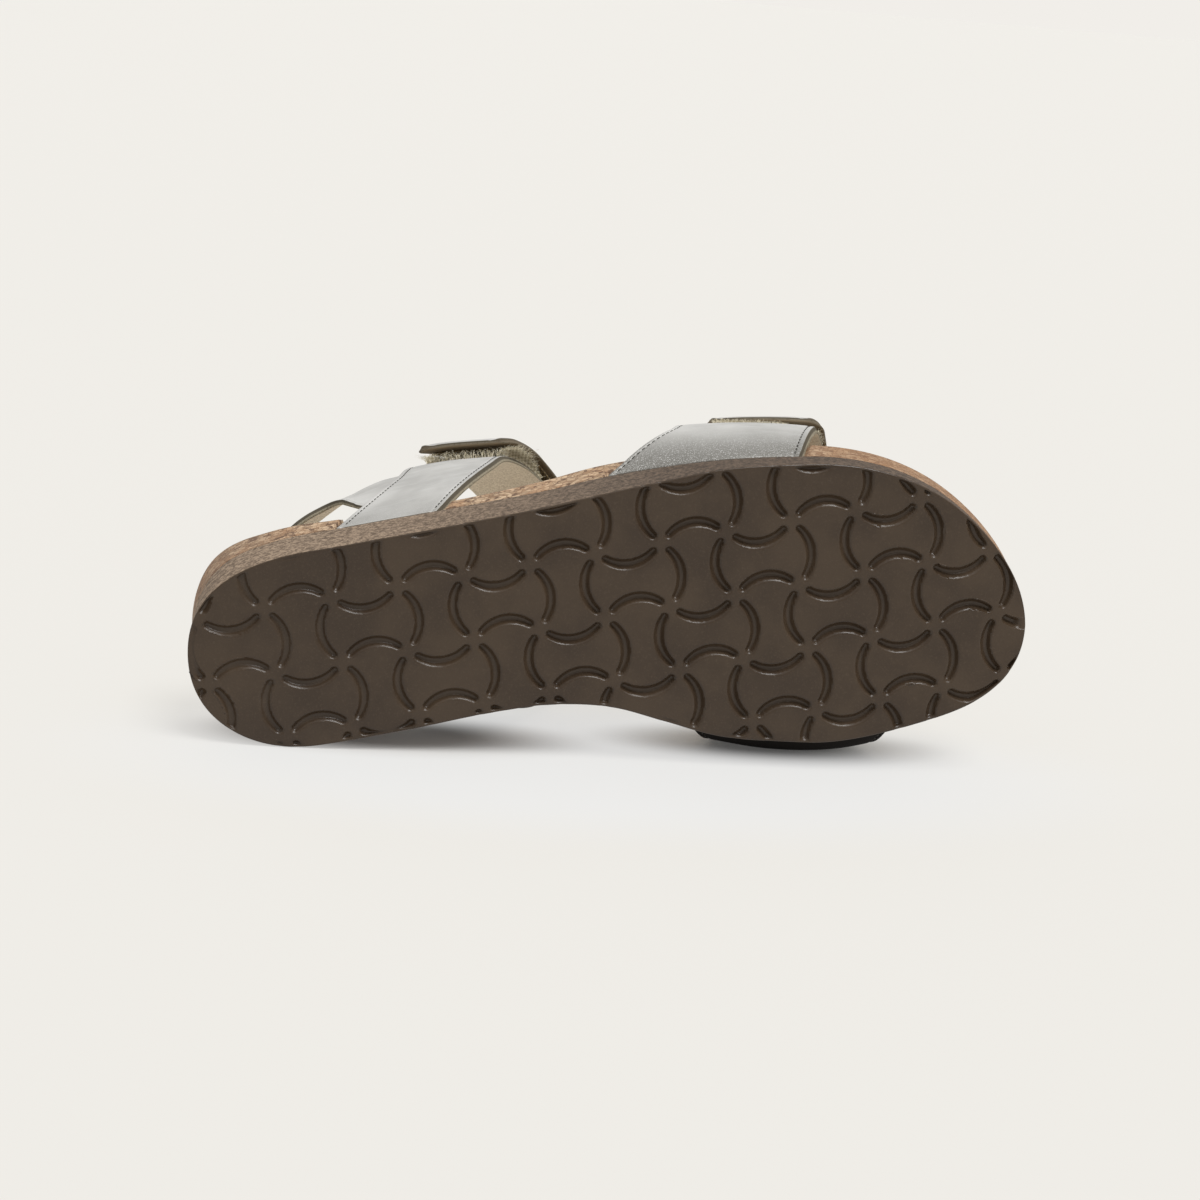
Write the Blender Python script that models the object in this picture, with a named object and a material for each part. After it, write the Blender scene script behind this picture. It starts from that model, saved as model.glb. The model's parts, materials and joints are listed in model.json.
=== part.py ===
"""Right-foot strap sandal on a low wedge platform, lying on its medial side.

The sandal is modelled upright in its own frame, in millimetres: u runs from heel to toe, v to the medial
side and w up from the tread. Its pose lays it on the hull face under its centre of mass, so that the edge
of the sole and the straps rest on the floor, with the toe at +X and the tread towards -Y.
"""

import math
from collections import namedtuple

import bmesh
import bpy
import numpy as np
from mathutils import Matrix, Vector

for leftover in list(bpy.data.objects):
    bpy.data.objects.remove(leftover, do_unlink=True)

# Driving dimensions, in millimetres unless the name says otherwise
MM = 0.001
LENGTH = 260.0
GAP = 0.3
LEATHER = 2.2
TAPE = 0.9
COVER = 1.4

HEEL_ROUND = 40.0
HEEL_POWER = 2.2
TOE_ROUND = 70.0
END_CUT = 0.15
TOE_SPRING = 4.0
SPRING_START = 0.74
HEEL_BEVEL = 1.5
HEEL_BEVEL_LENGTH = 20.0
CORK_FLARE = 0.11
STRAIGHT_FROM_HEEL = 25.0
STRAIGHT_FROM_TOE = 60.0
MEDIAL_FLARE = -0.25
DISH_POWER = 3.0

TREAD_PITCH = 20.36
TREAD_TURN_DEG = -8.0
TREAD_ORIGIN = (23.5, -9.0)
GROOVE_WIDTH = 3.4
GROOVE_DEPTH = 2.2
GROOVE_RADIUS = 11.5
GROOVE_RISE = 4.9
GROOVE_END = 2.0

HEEL_CENTRE = 52.0
HEEL_REACH = 33.0
HEEL_LEVEL = 53.0
HEEL_LEAN = 0.32
TWIST_START = 64.0
TWIST_END = 36.0
ARCH_POWER = 2.4

STATIONS = 40
DISH_STEPS = (-1.0, -0.85, -0.6, -0.3, 0.0, 0.3, 0.6, 0.85, 1.0)
COVER_EDGE = 0.97
ACROSS_STRAP = (0.0, 0.1, 0.3, 0.5, 0.7, 0.9, 1.0)
RECESS_MARGIN = 0.02
WELD_DISTANCE = 0.05
SHARP_DEG = 35.0

LATERAL, MEDIAL = -1, 1

# One row per section of the sole. width and centre give the tread outline before its ends are rounded,
# flare is how far the outsole's side leans out for its height, outsole is the wedge's thickness, and the
# last three are the cork's thickness at its rims and middle.
Sole = namedtuple("Sole", "along width centre flare outsole rim_lateral rim_medial middle")
SOLE = (
    Sole(0.00, 61.0, 5.5, -0.03, 20.5, 11.4, 11.4, 11.0),
    Sole(0.03, 61.0, 5.4, 0.05, 20.8, 11.6, 11.8, 8.0),
    Sole(0.10, 61.0, 5.0, 0.06, 21.0, 10.2, 11.8, 5.2),
    Sole(0.25, 61.3, 0.0, 0.07, 20.5, 7.0, 13.5, 5.6),
    Sole(0.35, 61.0, -4.4, 0.08, 19.2, 6.8, 15.6, 6.2),
    Sole(0.42, 62.2, -7.0, 0.08, 18.4, 8.6, 15.4, 7.2),
    Sole(0.50, 68.1, -8.3, 0.08, 18.4, 10.6, 13.4, 7.6),
    Sole(0.56, 76.0, -7.3, 0.07, 16.6, 11.0, 12.0, 7.2),
    Sole(0.62, 83.8, -6.2, 0.06, 12.8, 11.6, 11.4, 6.8),
    Sole(0.72, 88.2, -5.2, 0.06, 10.8, 11.6, 11.0, 5.8),
    Sole(0.88, 88.2, -3.0, 0.08, 9.4, 9.6, 9.4, 5.0),
    Sole(1.00, 88.2, 4.5, 0.08, 8.6, 8.0, 8.0, 7.6),
)

# One row per section of the last above the footbed. lateral and medial are where its sides stand out
# furthest, at the heights beside them, and crest is the top of the foot, crest_v to the side.
Last = namedtuple("Last", "along lateral lateral_at medial medial_at crest crest_v")
LAST = (
    Last(0.15, -28.0, 68.0, 33.0, 58.0, 132.0, 2.0),
    Last(0.25, -33.4, 68.0, 34.0, 56.0, 126.0, 0.0),
    Last(0.31, -37.0, 66.0, 34.6, 55.0, 120.0, -2.0),
    Last(0.42, -41.0, 58.0, 35.5, 50.0, 107.0, -5.0),
    Last(0.49, -46.6, 43.0, 37.0, 42.0, 97.0, -6.0),
    Last(0.55, -51.6, 37.0, 38.8, 32.0, 83.0, -6.0),
    Last(0.62, -53.6, 38.0, 41.4, 27.0, 70.0, -6.0),
    Last(0.70, -53.8, 38.0, 44.9, 23.5, 62.0, -5.0),
    Last(0.78, -51.8, 36.0, 45.5, 22.5, 55.0, -3.0),
    Last(0.88, -44.0, 30.0, 40.6, 22.0, 46.0, 0.0),
)

# Rear and front edges of a strap along its path over the foot, which runs from 0 at the lateral edge of
# the sole, over the crest at 0.5, to 1 at the medial edge.
Edges = namedtuple("Edges", "along rear front")
FRONT_STRAP = (
    Edges(0.00, 132.0, 190.0),
    Edges(0.25, 155.5, 199.0),
    Edges(0.34, 164.5, 203.5),
    Edges(0.50, 171.0, 209.0),
    Edges(0.75, 162.0, 216.0),
    Edges(1.00, 153.0, 221.0),
)
INSTEP_STRAP = (
    Edges(0.00, 45.0, 78.5),
    Edges(0.25, 65.0, 98.0),
    Edges(0.33, 74.0, 106.0),
    Edges(0.40, 90.0, 115.0),
    Edges(0.50, 103.0, 131.0),
    Edges(0.75, 84.0, 111.0),
    Edges(1.00, 63.0, 90.0),
)

# Lower and upper edges of the heel strap, from its lateral seam, 0, round the heel to its medial seam, 1,
# and where its ends lie along the sole at those edges.
HeelEdges = namedtuple("HeelEdges", "along lower upper")
HEEL_STRAP = (
    HeelEdges(0.00, 38.0, 76.0),
    HeelEdges(0.14, 39.0, 77.0),
    HeelEdges(0.20, 46.0, 77.6),
    HeelEdges(0.25, 60.5, 78.4),
    HeelEdges(0.30, 62.2, 79.4),
    HeelEdges(0.50, 64.0, 82.0),
    HeelEdges(1.00, 58.0, 77.0),
)
HEEL_STRAP_LATERAL_END = (69.0, 79.0)
HEEL_STRAP_MEDIAL_END = (91.0, 94.0)
SKIVED_END = 0.9
SKIVE_START, SKIVE_LENGTH, MEDIAL_SKIVE = 0.14, 0.14, 0.2

# Where a flap leaves the last to cover the lateral piece: it is flat on the last up to flap_start, stands
# off by the leather and the two tapes from flap_full on, bellies out a little between there and its free
# end, and lifts a little further at that end.
Closure = namedtuple("Closure", "flap_end flap_full flap_start lateral_end lift belly tape_from tape_to")
FRONT_CLOSURE = Closure(0.314, 0.50, 0.64, 0.49, 0.3, 0.0, 0.33, 0.46)
INSTEP_CLOSURE = Closure(0.325, 0.50, 0.62, 0.49, 2.0, 1.8, 0.345, 0.46)

# Density of each kind of piece, in grams per cubic centimetre, for the centre of mass
FOAM_RUBBER = 0.55
CORK = 0.30
HIDE = 0.90
WOVEN_TAPE = 0.60


def column(rows, name, at):
    """One column of a table at any place along it, on a smooth curve through the rows."""
    x = np.array([row.along for row in rows])
    y = np.array([getattr(row, name) for row in rows])
    at = np.clip(np.asarray(at, float), x[0], x[-1])
    slope = np.gradient(y, x)
    i = np.clip(np.searchsorted(x, at, side="right") - 1, 0, len(x) - 2)
    span = x[i + 1] - x[i]
    t = (at - x[i]) / span
    ends = y[i] * (1 + 2 * t) * (1 - t) ** 2 + y[i + 1] * t**2 * (3 - 2 * t)
    return ends + span * (slope[i] * t * (1 - t) ** 2 - slope[i + 1] * t**2 * (1 - t))


def ease(t):
    t = np.clip(t, 0.0, 1.0)
    return t * t * (3 - 2 * t)


def roundness(u):
    """Share of the full width that the rounded heel and toe leave at u."""
    heel = np.clip(1 - u / HEEL_ROUND, 0, 1) ** HEEL_POWER
    toe = np.clip(1 - (LENGTH - u) / TOE_ROUND, 0, 1) ** 2
    return (1 - heel) ** (1 / HEEL_POWER) * np.sqrt(1 - toe)


def tread_rise(u):
    """Height of the tread: level from heel to ball, with a bevelled heel and the toe spring."""
    toe = np.clip((u / LENGTH - SPRING_START) / (1 - SPRING_START), 0, 1)
    heel = np.clip(1 - u / HEEL_BEVEL_LENGTH, 0, 1)
    return TOE_SPRING * toe**2 + HEEL_BEVEL * heel**2


def outsole_top(u):
    return tread_rise(u) + column(SOLE, "outsole", u / LENGTH)


def tread_edge(u, side):
    """Sideways position of the tread's outline at u."""
    return column(SOLE, "centre", u / LENGTH) + side * column(SOLE, "width", u / LENGTH) / 2 * roundness(u)


def flare_share(u, side):
    """Share of the flare that a side has: the medial one leans in a little between the rounded ends."""
    straight = ease(u / STRAIGHT_FROM_HEEL) * ease((LENGTH - u) / STRAIGHT_FROM_TOE)
    return 1 + (MEDIAL_FLARE - 1) * straight * (side == MEDIAL)


def sole_edge(u, side, w):
    """Point of the sole's side at height w, moved out along the outline's normal at station u."""
    nudge = END_CUT / 5
    slope = (tread_edge(u + nudge, side) - tread_edge(u - nudge, side)) / (2 * nudge)
    lean = column(SOLE, "flare", u / LENGTH) * w + CORK_FLARE * np.clip(w - outsole_top(u), 0, None)
    out = lean * flare_share(u, side) / np.sqrt(1 + slope**2)
    return np.stack(np.broadcast_arrays(u - side * slope * out, tread_edge(u, side) + side * out, w), -1)


def sole_point(u, s, w):
    """Point of the sole at station u of the tread and height w, s across from -1 lateral to 1 medial."""
    share = ((np.asarray(s) + 1) / 2)[..., None]
    return sole_edge(u, LATERAL, w) * (1 - share) + sole_edge(u, MEDIAL, w) * share


def footbed_top(u, s):
    """Height of the cork: a dish between its lateral and medial rims."""
    at = u / LENGTH
    middle = column(SOLE, "middle", at)
    lateral = column(SOLE, "rim_lateral", at)
    medial = column(SOLE, "rim_medial", at)
    rim = np.where(s < 0, lateral, medial)
    return outsole_top(u) + GAP + middle + (rim - middle) * np.abs(s) ** DISH_POWER


def last_side(u, w, side):
    """How far to the side the last stands at station u and height w."""
    at = u / LENGTH
    name = "medial" if side == MEDIAL else "lateral"
    widest, level = column(LAST, name, at), column(LAST, name + "_at", at)
    crest, middle = column(LAST, "crest", at), column(LAST, "crest_v", at)
    low = outsole_top(u) + GAP
    foot = sole_point(u, side, low)[..., 1] - side * LEATHER
    below = widest + (foot - widest) * (1 - np.minimum((w - low) / (level - low), 1)) ** 2
    rise = np.clip((w - level) / (crest - level), 0, 1) ** ARCH_POWER
    above = middle + (widest - middle) * (1 - rise) ** (1 / ARCH_POWER)
    return np.where(w < level, below, above)


def heel_lean(u, w):
    """How far the heel strap leans in towards the ankle at station u and height w."""
    above = np.clip(w - HEEL_LEVEL, 0, None)
    return HEEL_LEAN * above * ease((TWIST_START - u) / (TWIST_START - TWIST_END))


def heel_side(u, w, side):
    return last_side(u, w, side) - side * heel_lean(u, w)


def heel_point(turn, w):
    """Point of the last round its heel, an ellipse in plan; turn goes from 0, lateral, to pi, medial."""
    u = HEEL_CENTRE - (HEEL_REACH - HEEL_LEAN * np.clip(w - HEEL_LEVEL, 0, None)) * np.sin(turn)
    sides = [last_side(np.full_like(w, HEEL_CENTRE), w, side) for side in (LATERAL, MEDIAL)]
    middle, half = (sides[1] + sides[0]) / 2, (sides[1] - sides[0]) / 2 - heel_lean(u, w)
    return np.stack([u, middle - half * np.cos(turn), w], -1)


def last_point(u, b):
    """Point of the last on its path over the foot: b is 0 and 1 at the sole, 0.25 and 0.75 where the
    sides are widest, and 0.5 at the crest."""
    at = u / LENGTH
    medial = b > 0.5
    t = np.where(medial, 1 - b, b) * 4
    level = np.where(medial, column(LAST, "medial_at", at), column(LAST, "lateral_at", at))
    crest = column(LAST, "crest", at)
    low = outsole_top(u) + GAP
    turn = np.clip(t - 1, 0, 1) * math.pi / 2
    w = np.where(t < 1, low + (level - low) * t, level + (crest - level) * np.sin(turn) ** (2 / ARCH_POWER))
    v = np.where(medial, last_side(u, w, MEDIAL), last_side(u, w, LATERAL))
    return np.stack(np.broadcast_arrays(u, v, w), -1)


def outward(grid):
    """Unit normals of a grid of points, away from the foot."""
    normal = np.cross(np.gradient(grid, axis=1), np.gradient(grid, axis=0))
    return normal / np.linalg.norm(normal, axis=-1, keepdims=True)


def strap_grid(edges, path, across=ACROSS_STRAP):
    """Grid of points of a strap on the last, path by width."""
    path = np.asarray(path)[:, None]
    across = np.asarray(across)[None, :]
    rear, front = column(edges, "rear", path), column(edges, "front", path)
    return last_point(rear + (front - rear) * across, path)


def wall(grid, normal, offset, thickness):
    """Inner and outer face of a wall that stands off a grid; the outer one ends above the outsole."""
    inner = grid + normal * offset
    outer = inner + normal * thickness
    for end, neighbour in ((0, 1), (-1, -2)):
        step = outer[neighbour] - outer[end]
        short = np.maximum(outsole_top(outer[end, :, 0]) + GAP - outer[end, :, 2], 0)
        outer[end] += step * (short / np.maximum(step[:, 2], GAP))[:, None]
    return inner, outer


def new_object(name, mesh, colour, roughness, metallic=0.0, collection=None):
    obj = bpy.data.objects.new(name, mesh)
    (collection or sandal).objects.link(obj)
    if collection is None:
        mesh.shade_smooth()
        mesh.set_sharp_from_angle(angle=math.radians(SHARP_DEG))
    material = bpy.data.materials.new(name)
    material.use_nodes = True
    shader = material.node_tree.nodes["Principled BSDF"]
    shader.inputs["Base Color"].default_value = (*colour, 1.0)
    shader.inputs["Roughness"].default_value = roughness
    shader.inputs["Metallic"].default_value = metallic
    mesh.materials.append(material)
    return obj


def finish(bm, name):
    mesh = bpy.data.meshes.new(name)
    bm.to_mesh(mesh)
    bm.free()
    return mesh


def loft(name, rings):
    """Closed mesh through rings of points, one ring per station, capped at both ends."""
    bm = bmesh.new()
    loops = [[bm.verts.new(Vector(point) * MM) for point in ring] for ring in rings]
    for ring, following in zip(loops, loops[1:]):
        for j in range(len(ring)):
            k = (j + 1) % len(ring)
            bm.faces.new((ring[j], ring[k], following[k], following[j]))
    bm.faces.new(loops[0][::-1])
    bm.faces.new(loops[-1])
    bmesh.ops.recalc_face_normals(bm, faces=bm.faces)
    return finish(bm, name)


def shell(name, inner, outer):
    """Closed mesh between two grids of points, the outer one on the side that faces away from the foot."""
    bm = bmesh.new()
    inside = [[bm.verts.new(Vector(point) * MM) for point in row] for row in inner]
    outside = [[bm.verts.new(Vector(point) * MM) for point in row] for row in outer]
    rows, columns = len(inside), len(inside[0])
    for i in range(rows - 1):
        for j in range(columns - 1):
            corners = ((i, j), (i, j + 1), (i + 1, j + 1), (i + 1, j))
            bm.faces.new([outside[a][b] for a, b in corners])
            bm.faces.new([inside[a][b] for a, b in corners[::-1]])
    rim = [(0, j) for j in range(columns - 1)] + [(i, columns - 1) for i in range(rows - 1)]
    rim += [(rows - 1, j) for j in range(columns - 1, 0, -1)] + [(i, 0) for i in range(rows - 1, 0, -1)]
    for (a, b), (c, d) in zip(rim, rim[1:] + rim[:1]):
        bm.faces.new((outside[c][d], outside[a][b], inside[a][b], inside[c][d]))
    return finish(bm, name)


def hide(obj):
    obj.hide_render = True
    obj.display_type = "WIRE"
    return obj


def boolean(obj, other, operation):
    step = obj.modifiers.new(other.name, "BOOLEAN")
    step.operation = operation
    step.object = other


def clean(obj):
    """Weld the tiny edges that cutting leaves, and split its many-sided faces."""
    weld = obj.modifiers.new("weld", "WELD")
    weld.merge_threshold = WELD_DISTANCE * MM
    obj.modifiers.new("triangles", "TRIANGULATE")


def collection(name):
    group = bpy.data.collections.new(name)
    bpy.context.scene.collection.children.link(group)
    return group


def stations(first=0, last=STATIONS):
    """Places along the sole, close together at its rounded ends."""
    turn = np.arange(first, last + 1) * math.pi / STATIONS
    return END_CUT + (LENGTH - 2 * END_CUT) * (1 - np.cos(turn)) / 2


def make_outsole():
    """Wedge-shaped sheet with the tread's pinwheel of curved grooves cut into its underside."""
    rings = []
    for u in stations():
        low, high = tread_rise(u), outsole_top(u)
        corners = [(LATERAL, low), (MEDIAL, low), (MEDIAL, high), (LATERAL, high)]
        rings.append([sole_point(u, s, w) for s, w in corners])
    mesh = loft("outsole", rings)
    bm = bmesh.new()
    bm.from_mesh(mesh)
    flat = math.radians(0.05)
    bmesh.ops.dissolve_limit(bm, angle_limit=flat, verts=bm.verts, edges=bm.edges)
    bm.to_mesh(mesh)
    bm.free()
    outsole = new_object("outsole", mesh, (0.075, 0.055, 0.042), 0.5)
    boolean(outsole, make_grooves(), "DIFFERENCE")
    return outsole


def make_grooves():
    """Cutter for the tread: one curved slot between each two neighbouring nodes of a square lattice.

    The slots bulge to alternate sides, which makes a pinwheel of four round every node.
    """
    turn = math.radians(TREAD_TURN_DEG)
    row = np.array([math.cos(turn), math.sin(turn)])
    down = np.array([-math.sin(turn), math.cos(turn)])
    bm = bmesh.new()
    for i in range(-2, 13):
        for j in range(-3, 5):
            node = np.array(TREAD_ORIGIN) + TREAD_PITCH * (i * row + j * down)
            swing = -1 if (i + j) % 2 == 0 else 1
            add_groove(bm, node, row, swing * down)
            add_groove(bm, node, down, -swing * row)
    bmesh.ops.recalc_face_normals(bm, faces=bm.faces)
    mesh = finish(bm, "tread_grooves")
    return hide(new_object("tread_grooves", mesh, (0.5, 0.5, 0.5), 0.5, collection=cutters))


def add_groove(bm, node, along, bulge):
    """One slot from node to the next, an arc with pointed ends, if the sole reaches it."""
    half = TREAD_PITCH / 2
    radius = GROOVE_RADIUS
    reach = math.asin((half - GROOVE_END) / radius)
    ends = math.asin(GROOVE_WIDTH / 2 / radius)
    turns = np.linspace(-reach + ends, reach - ends, 5)
    outer = [(a, radius + GROOVE_WIDTH / 2) for a in turns]
    inner = [(a, radius - GROOVE_WIDTH / 2) for a in turns[::-1]]
    outline = outer + [(reach, radius)] + inner + [(-reach, radius)]
    middle = node + along * half
    centre = middle + bulge * (GROOVE_RISE - radius)
    points = [centre + r * (along * math.sin(a) + bulge * math.cos(a)) for a, r in outline]
    u = np.array([p[0] for p in points])
    v = np.array([p[1] for p in points])
    if u.min() < 1.0 or u.max() > LENGTH - 1.0:
        return
    inside = (v > tread_edge(u, LATERAL) + 2.0) & (v < tread_edge(u, MEDIAL) - 2.0)
    if not inside.any():
        return
    below = [bm.verts.new(Vector((x, y, tread_rise(x) - 2 * GROOVE_DEPTH)) * MM) for x, y in points]
    floor = [bm.verts.new(Vector((x, y, tread_rise(x) + GROOVE_DEPTH)) * MM) for x, y in points]
    bm.faces.new(below)
    bm.faces.new(floor[::-1])
    for k in range(len(points)):
        n = (k + 1) % len(points)
        bm.faces.new((below[n], below[k], floor[k], floor[n]))


def make_footbed():
    """Cork layer, flush with the outsole below and dished above."""
    dish = np.array(DISH_STEPS[::-1])
    rings = []
    for u in stations():
        low = outsole_top(u) + GAP
        foot = [sole_point(u, LATERAL, low), sole_point(u, MEDIAL, low)]
        rings.append(foot + list(sole_point(u, dish, footbed_top(u, dish))))
    footbed = new_object("cork_footbed", loft("cork_footbed", rings), (0.50, 0.30, 0.16), 0.85)
    return footbed


def make_cover():
    """Suede cover of the footbed, a thin sheet that stops just inside the cork's rim."""
    rings = []
    for u in stations(2, STATIONS - 2):
        dish = np.array(DISH_STEPS)
        cork = sole_point(u, dish, footbed_top(u, dish))
        share = (COVER_EDGE - DISH_STEPS[-2]) / (DISH_STEPS[-1] - DISH_STEPS[-2])
        cork[0] = cork[1] + (cork[0] - cork[1]) * share
        cork[-1] = cork[-2] + (cork[-1] - cork[-2]) * share
        rings.append(list(cork + [0, 0, GAP]) + list((cork + [0, 0, GAP + COVER])[::-1]))
    return new_object("insole_cover", loft("insole_cover", rings), (0.42, 0.36, 0.27), 0.95)


def strap_recess(name, edges, closure, end):
    """Cutter that lets one leg of a strap into the side of the sole."""
    lateral_path, _, medial_path = strap_paths(closure)
    if end == LATERAL:
        path = np.concatenate([[-RECESS_MARGIN], lateral_path[lateral_path < 0.25]])
    else:
        path = np.concatenate([medial_path[medial_path > 0.75], [1 + RECESS_MARGIN]])
    grid = strap_grid(edges, path, (-RECESS_MARGIN, *ACROSS_STRAP[1:-1], 1 + RECESS_MARGIN))
    normal = outward(grid)
    mesh = shell(name, grid - normal * GAP, grid + normal * 3 * LEATHER)
    return hide(new_object(name, mesh, (0.5, 0.5, 0.5), 0.5, collection=cutters))


def flap_offset(closure, path):
    """How far a flap stands off the last along its path, to clear the lateral piece and the two tapes."""
    stack = LEATHER + 2 * TAPE + 3 * GAP
    off = stack * (1 - ease((path - closure.flap_full) / (closure.flap_start - closure.flap_full)))
    share = (path - closure.flap_end) / (closure.flap_full - closure.flap_end)
    lift = closure.lift * (1 - ease(share)) + closure.belly * np.sin(math.pi * np.clip(share, 0, 1)) ** 2
    return (off + lift)[:, None, None]


def strap_paths(closure):
    """Steps along the lateral piece, the tapes and the flap; the tapes' steps are in all three."""
    tape = np.linspace(closure.tape_from, closure.tape_to, 6)
    lateral = np.concatenate([np.linspace(0, closure.tape_from, 10)[:-1], tape, [closure.lateral_end]])
    medial = np.concatenate([[closure.flap_end], tape, np.linspace(closure.flap_full, 1, 14)])
    return lateral, tape, medial


def make_strap(name, edges, closure):
    """The two leather pieces of a strap, the medial one lapping over the other, and the tapes between."""
    lateral_path, tape, medial_path = strap_paths(closure)
    grid = strap_grid(edges, lateral_path)
    normal = outward(grid)
    lateral = shell(name + "_lateral", *wall(grid, normal, 0.0, LEATHER))
    held = (slice(-len(tape) - 1, -1), slice(1, -1))
    loop = shell(name + "_loop_tape", *wall(grid[held], normal[held], LEATHER + GAP, TAPE))
    grid = strap_grid(edges, medial_path)
    normal = outward(grid)
    offset = flap_offset(closure, medial_path)
    medial = shell(name + "_medial", *wall(grid, normal, offset, LEATHER))
    held = (slice(1, len(tape) + 1), slice(1, -1))
    hook = shell(name + "_hook_tape", *wall(grid[held], normal[held], offset[held[0]] - GAP - TAPE, TAPE))
    return (
        new_object(name + "_lateral", lateral, SILVER_LEATHER, 0.42, 0.35),
        new_object(name + "_medial", medial, SILVER_LEATHER, 0.42, 0.35),
        new_object(name + "_loop_tape", loop, (0.45, 0.42, 0.32), 1.0),
        new_object(name + "_hook_tape", hook, (0.09, 0.075, 0.05), 0.9),
    )


def make_heel_strap():
    """Strap round the back of the heel, its skived ends inside the walls of the instep pieces."""
    across = np.linspace(0, 1, 5)[None, :]
    ahead = np.linspace(1, 0, 7)[:-1, None]
    turn = np.linspace(0, math.pi, 19)[:, None] + 0 * across
    ends = [HEEL_CENTRE + ahead * (low + across * (high - low) - HEEL_CENTRE)
            for low, high in (HEEL_STRAP_LATERAL_END, HEEL_STRAP_MEDIAL_END)]
    steps = np.linspace(0, 1, 2 * len(ahead) + len(turn))[:, None]
    low, high = column(HEEL_STRAP, "lower", steps), column(HEEL_STRAP, "upper", steps)
    w = low + (high - low) * across
    first, last = len(ahead), len(ahead) + len(turn)
    lateral = np.stack([ends[0], heel_side(ends[0], w[:first], LATERAL), w[:first]], -1)
    medial = np.stack([ends[1][::-1], heel_side(ends[1][::-1], w[last:], MEDIAL), w[last:]], -1)
    grid = np.concatenate([lateral, heel_point(turn, w[first:last]), medial])
    skive = ease(np.minimum((steps - SKIVE_START) / SKIVE_LENGTH, (1 - steps) / MEDIAL_SKIVE))[..., None]
    thickness = SKIVED_END + (LEATHER - SKIVED_END) * skive
    inner, outer = wall(grid, outward(grid), (LEATHER - thickness) / 2, thickness)
    name = "instep_and_heel_strap"
    return new_object(name, shell(name, inner, outer), SILVER_LEATHER, 0.42, 0.35)


def evaluated(obj):
    """Corner points and triangles of an object with its modifiers applied."""
    shape = obj.evaluated_get(bpy.context.evaluated_depsgraph_get())
    mesh = shape.to_mesh()
    mesh.calc_loop_triangles()
    points = np.array([vertex.co[:] for vertex in mesh.vertices])
    faces = np.array([triangle.vertices[:] for triangle in mesh.loop_triangles])
    shape.to_mesh_clear()
    return points, faces


def lying_pose(densities):
    """Matrix that lays the sandal, medial side down, on the hull face under its centre of mass."""
    hull = bmesh.new()
    mass, moment = 0.0, np.zeros(3)
    for obj, density in densities.items():
        points, faces = evaluated(obj)
        for point in points:
            hull.verts.new(point)
        corners = points[faces]
        volume = np.einsum("ij,ij->i", corners[:, 0], np.cross(corners[:, 1], corners[:, 2])) / 6
        mass += density * volume.sum()
        moment += density * (volume[:, None] * corners.sum(1) / 4).sum(0)
    balance = Vector(moment / mass)
    bmesh.ops.convex_hull(hull, input=hull.verts)
    hull.normal_update()
    down, best = None, 0.0
    for face in hull.faces:
        a, b, c = (corner.co for corner in face.verts[:3])
        normal = (b - a).cross(c - a).normalized()
        normal = normal if normal.dot(a - balance) > 0 else -normal
        foot = balance + normal * normal.dot(a - balance)
        winding = (b - a).cross(c - a)
        turns = [(q - p).cross(foot - p).dot(winding) for p, q in ((a, b), (b, c), (c, a))]
        if min(turns) >= 0 and normal.y > best:
            down, best = normal, normal.y
    hull.free()
    x = (Vector((1, 0, 0)) - down * down.x).normalized()
    turned = Matrix((x, (-down).cross(x), -down))
    points = np.concatenate([evaluated(obj)[0] for obj in densities]) @ np.array(turned).T
    low, high = points.min(0), points.max(0)
    return Matrix.Translation((-(low[0] + high[0]) / 2, -(low[1] + high[1]) / 2, -low[2])) @ turned.to_4x4()


SILVER_LEATHER = (0.42, 0.42, 0.40)
sandal = collection("strap_sandal")
cutters = collection("cutters")

outsole = make_outsole()
footbed = make_footbed()
cover = make_cover()
straps = (("front", FRONT_STRAP, FRONT_CLOSURE), ("instep", INSTEP_STRAP, INSTEP_CLOSURE))
for strap_name, strap_edges, strap_closure in straps:
    for leg_name, leg in (("lateral", LATERAL), ("medial", MEDIAL)):
        recess = strap_recess(f"{strap_name}_{leg_name}_recess", strap_edges, strap_closure, leg)
        boolean(footbed, recess, "DIFFERENCE")
        boolean(cover, recess, "DIFFERENCE")

front_lateral, front_medial, front_loop, front_hook = make_strap("front_strap", FRONT_STRAP, FRONT_CLOSURE)
instep_lateral, instep_medial, instep_loop, instep_hook = make_strap("instep", INSTEP_STRAP, INSTEP_CLOSURE)

# The heel strap is sewn to both instep pieces, so the three are one wall.
rear_upper = make_heel_strap()
for piece in (instep_lateral, instep_medial):
    boolean(rear_upper, hide(piece), "UNION")
    sandal.objects.unlink(piece)
    cutters.objects.link(piece)

pieces = {
    outsole: FOAM_RUBBER,
    footbed: CORK,
    cover: HIDE,
    front_lateral: HIDE,
    front_medial: HIDE,
    rear_upper: HIDE,
    front_loop: WOVEN_TAPE,
    front_hook: WOVEN_TAPE,
    instep_loop: WOVEN_TAPE,
    instep_hook: WOVEN_TAPE,
}
for piece in (outsole, footbed, cover, rear_upper):
    clean(piece)
bpy.context.view_layer.update()
pose = bpy.data.objects.new("lying_pose", None)
sandal.objects.link(pose)
pose.matrix_world = lying_pose(pieces)
for piece in list(sandal.objects) + list(cutters.objects):
    if piece is not pose:
        piece.parent = pose
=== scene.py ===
# %% [markdown]
# # A strap sandal, lying on its side
# The imported solids of the sandal are the frame. Most pieces made here take the place of one of them, at the
# same size and in the same place, with the detail that a low-polygon solid leaves out. Stitches and pile come
# on top.

# %% The imported model
import json
import math
from collections import namedtuple

import bpy
import numpy as np
from mathutils import Matrix, Vector

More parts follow.
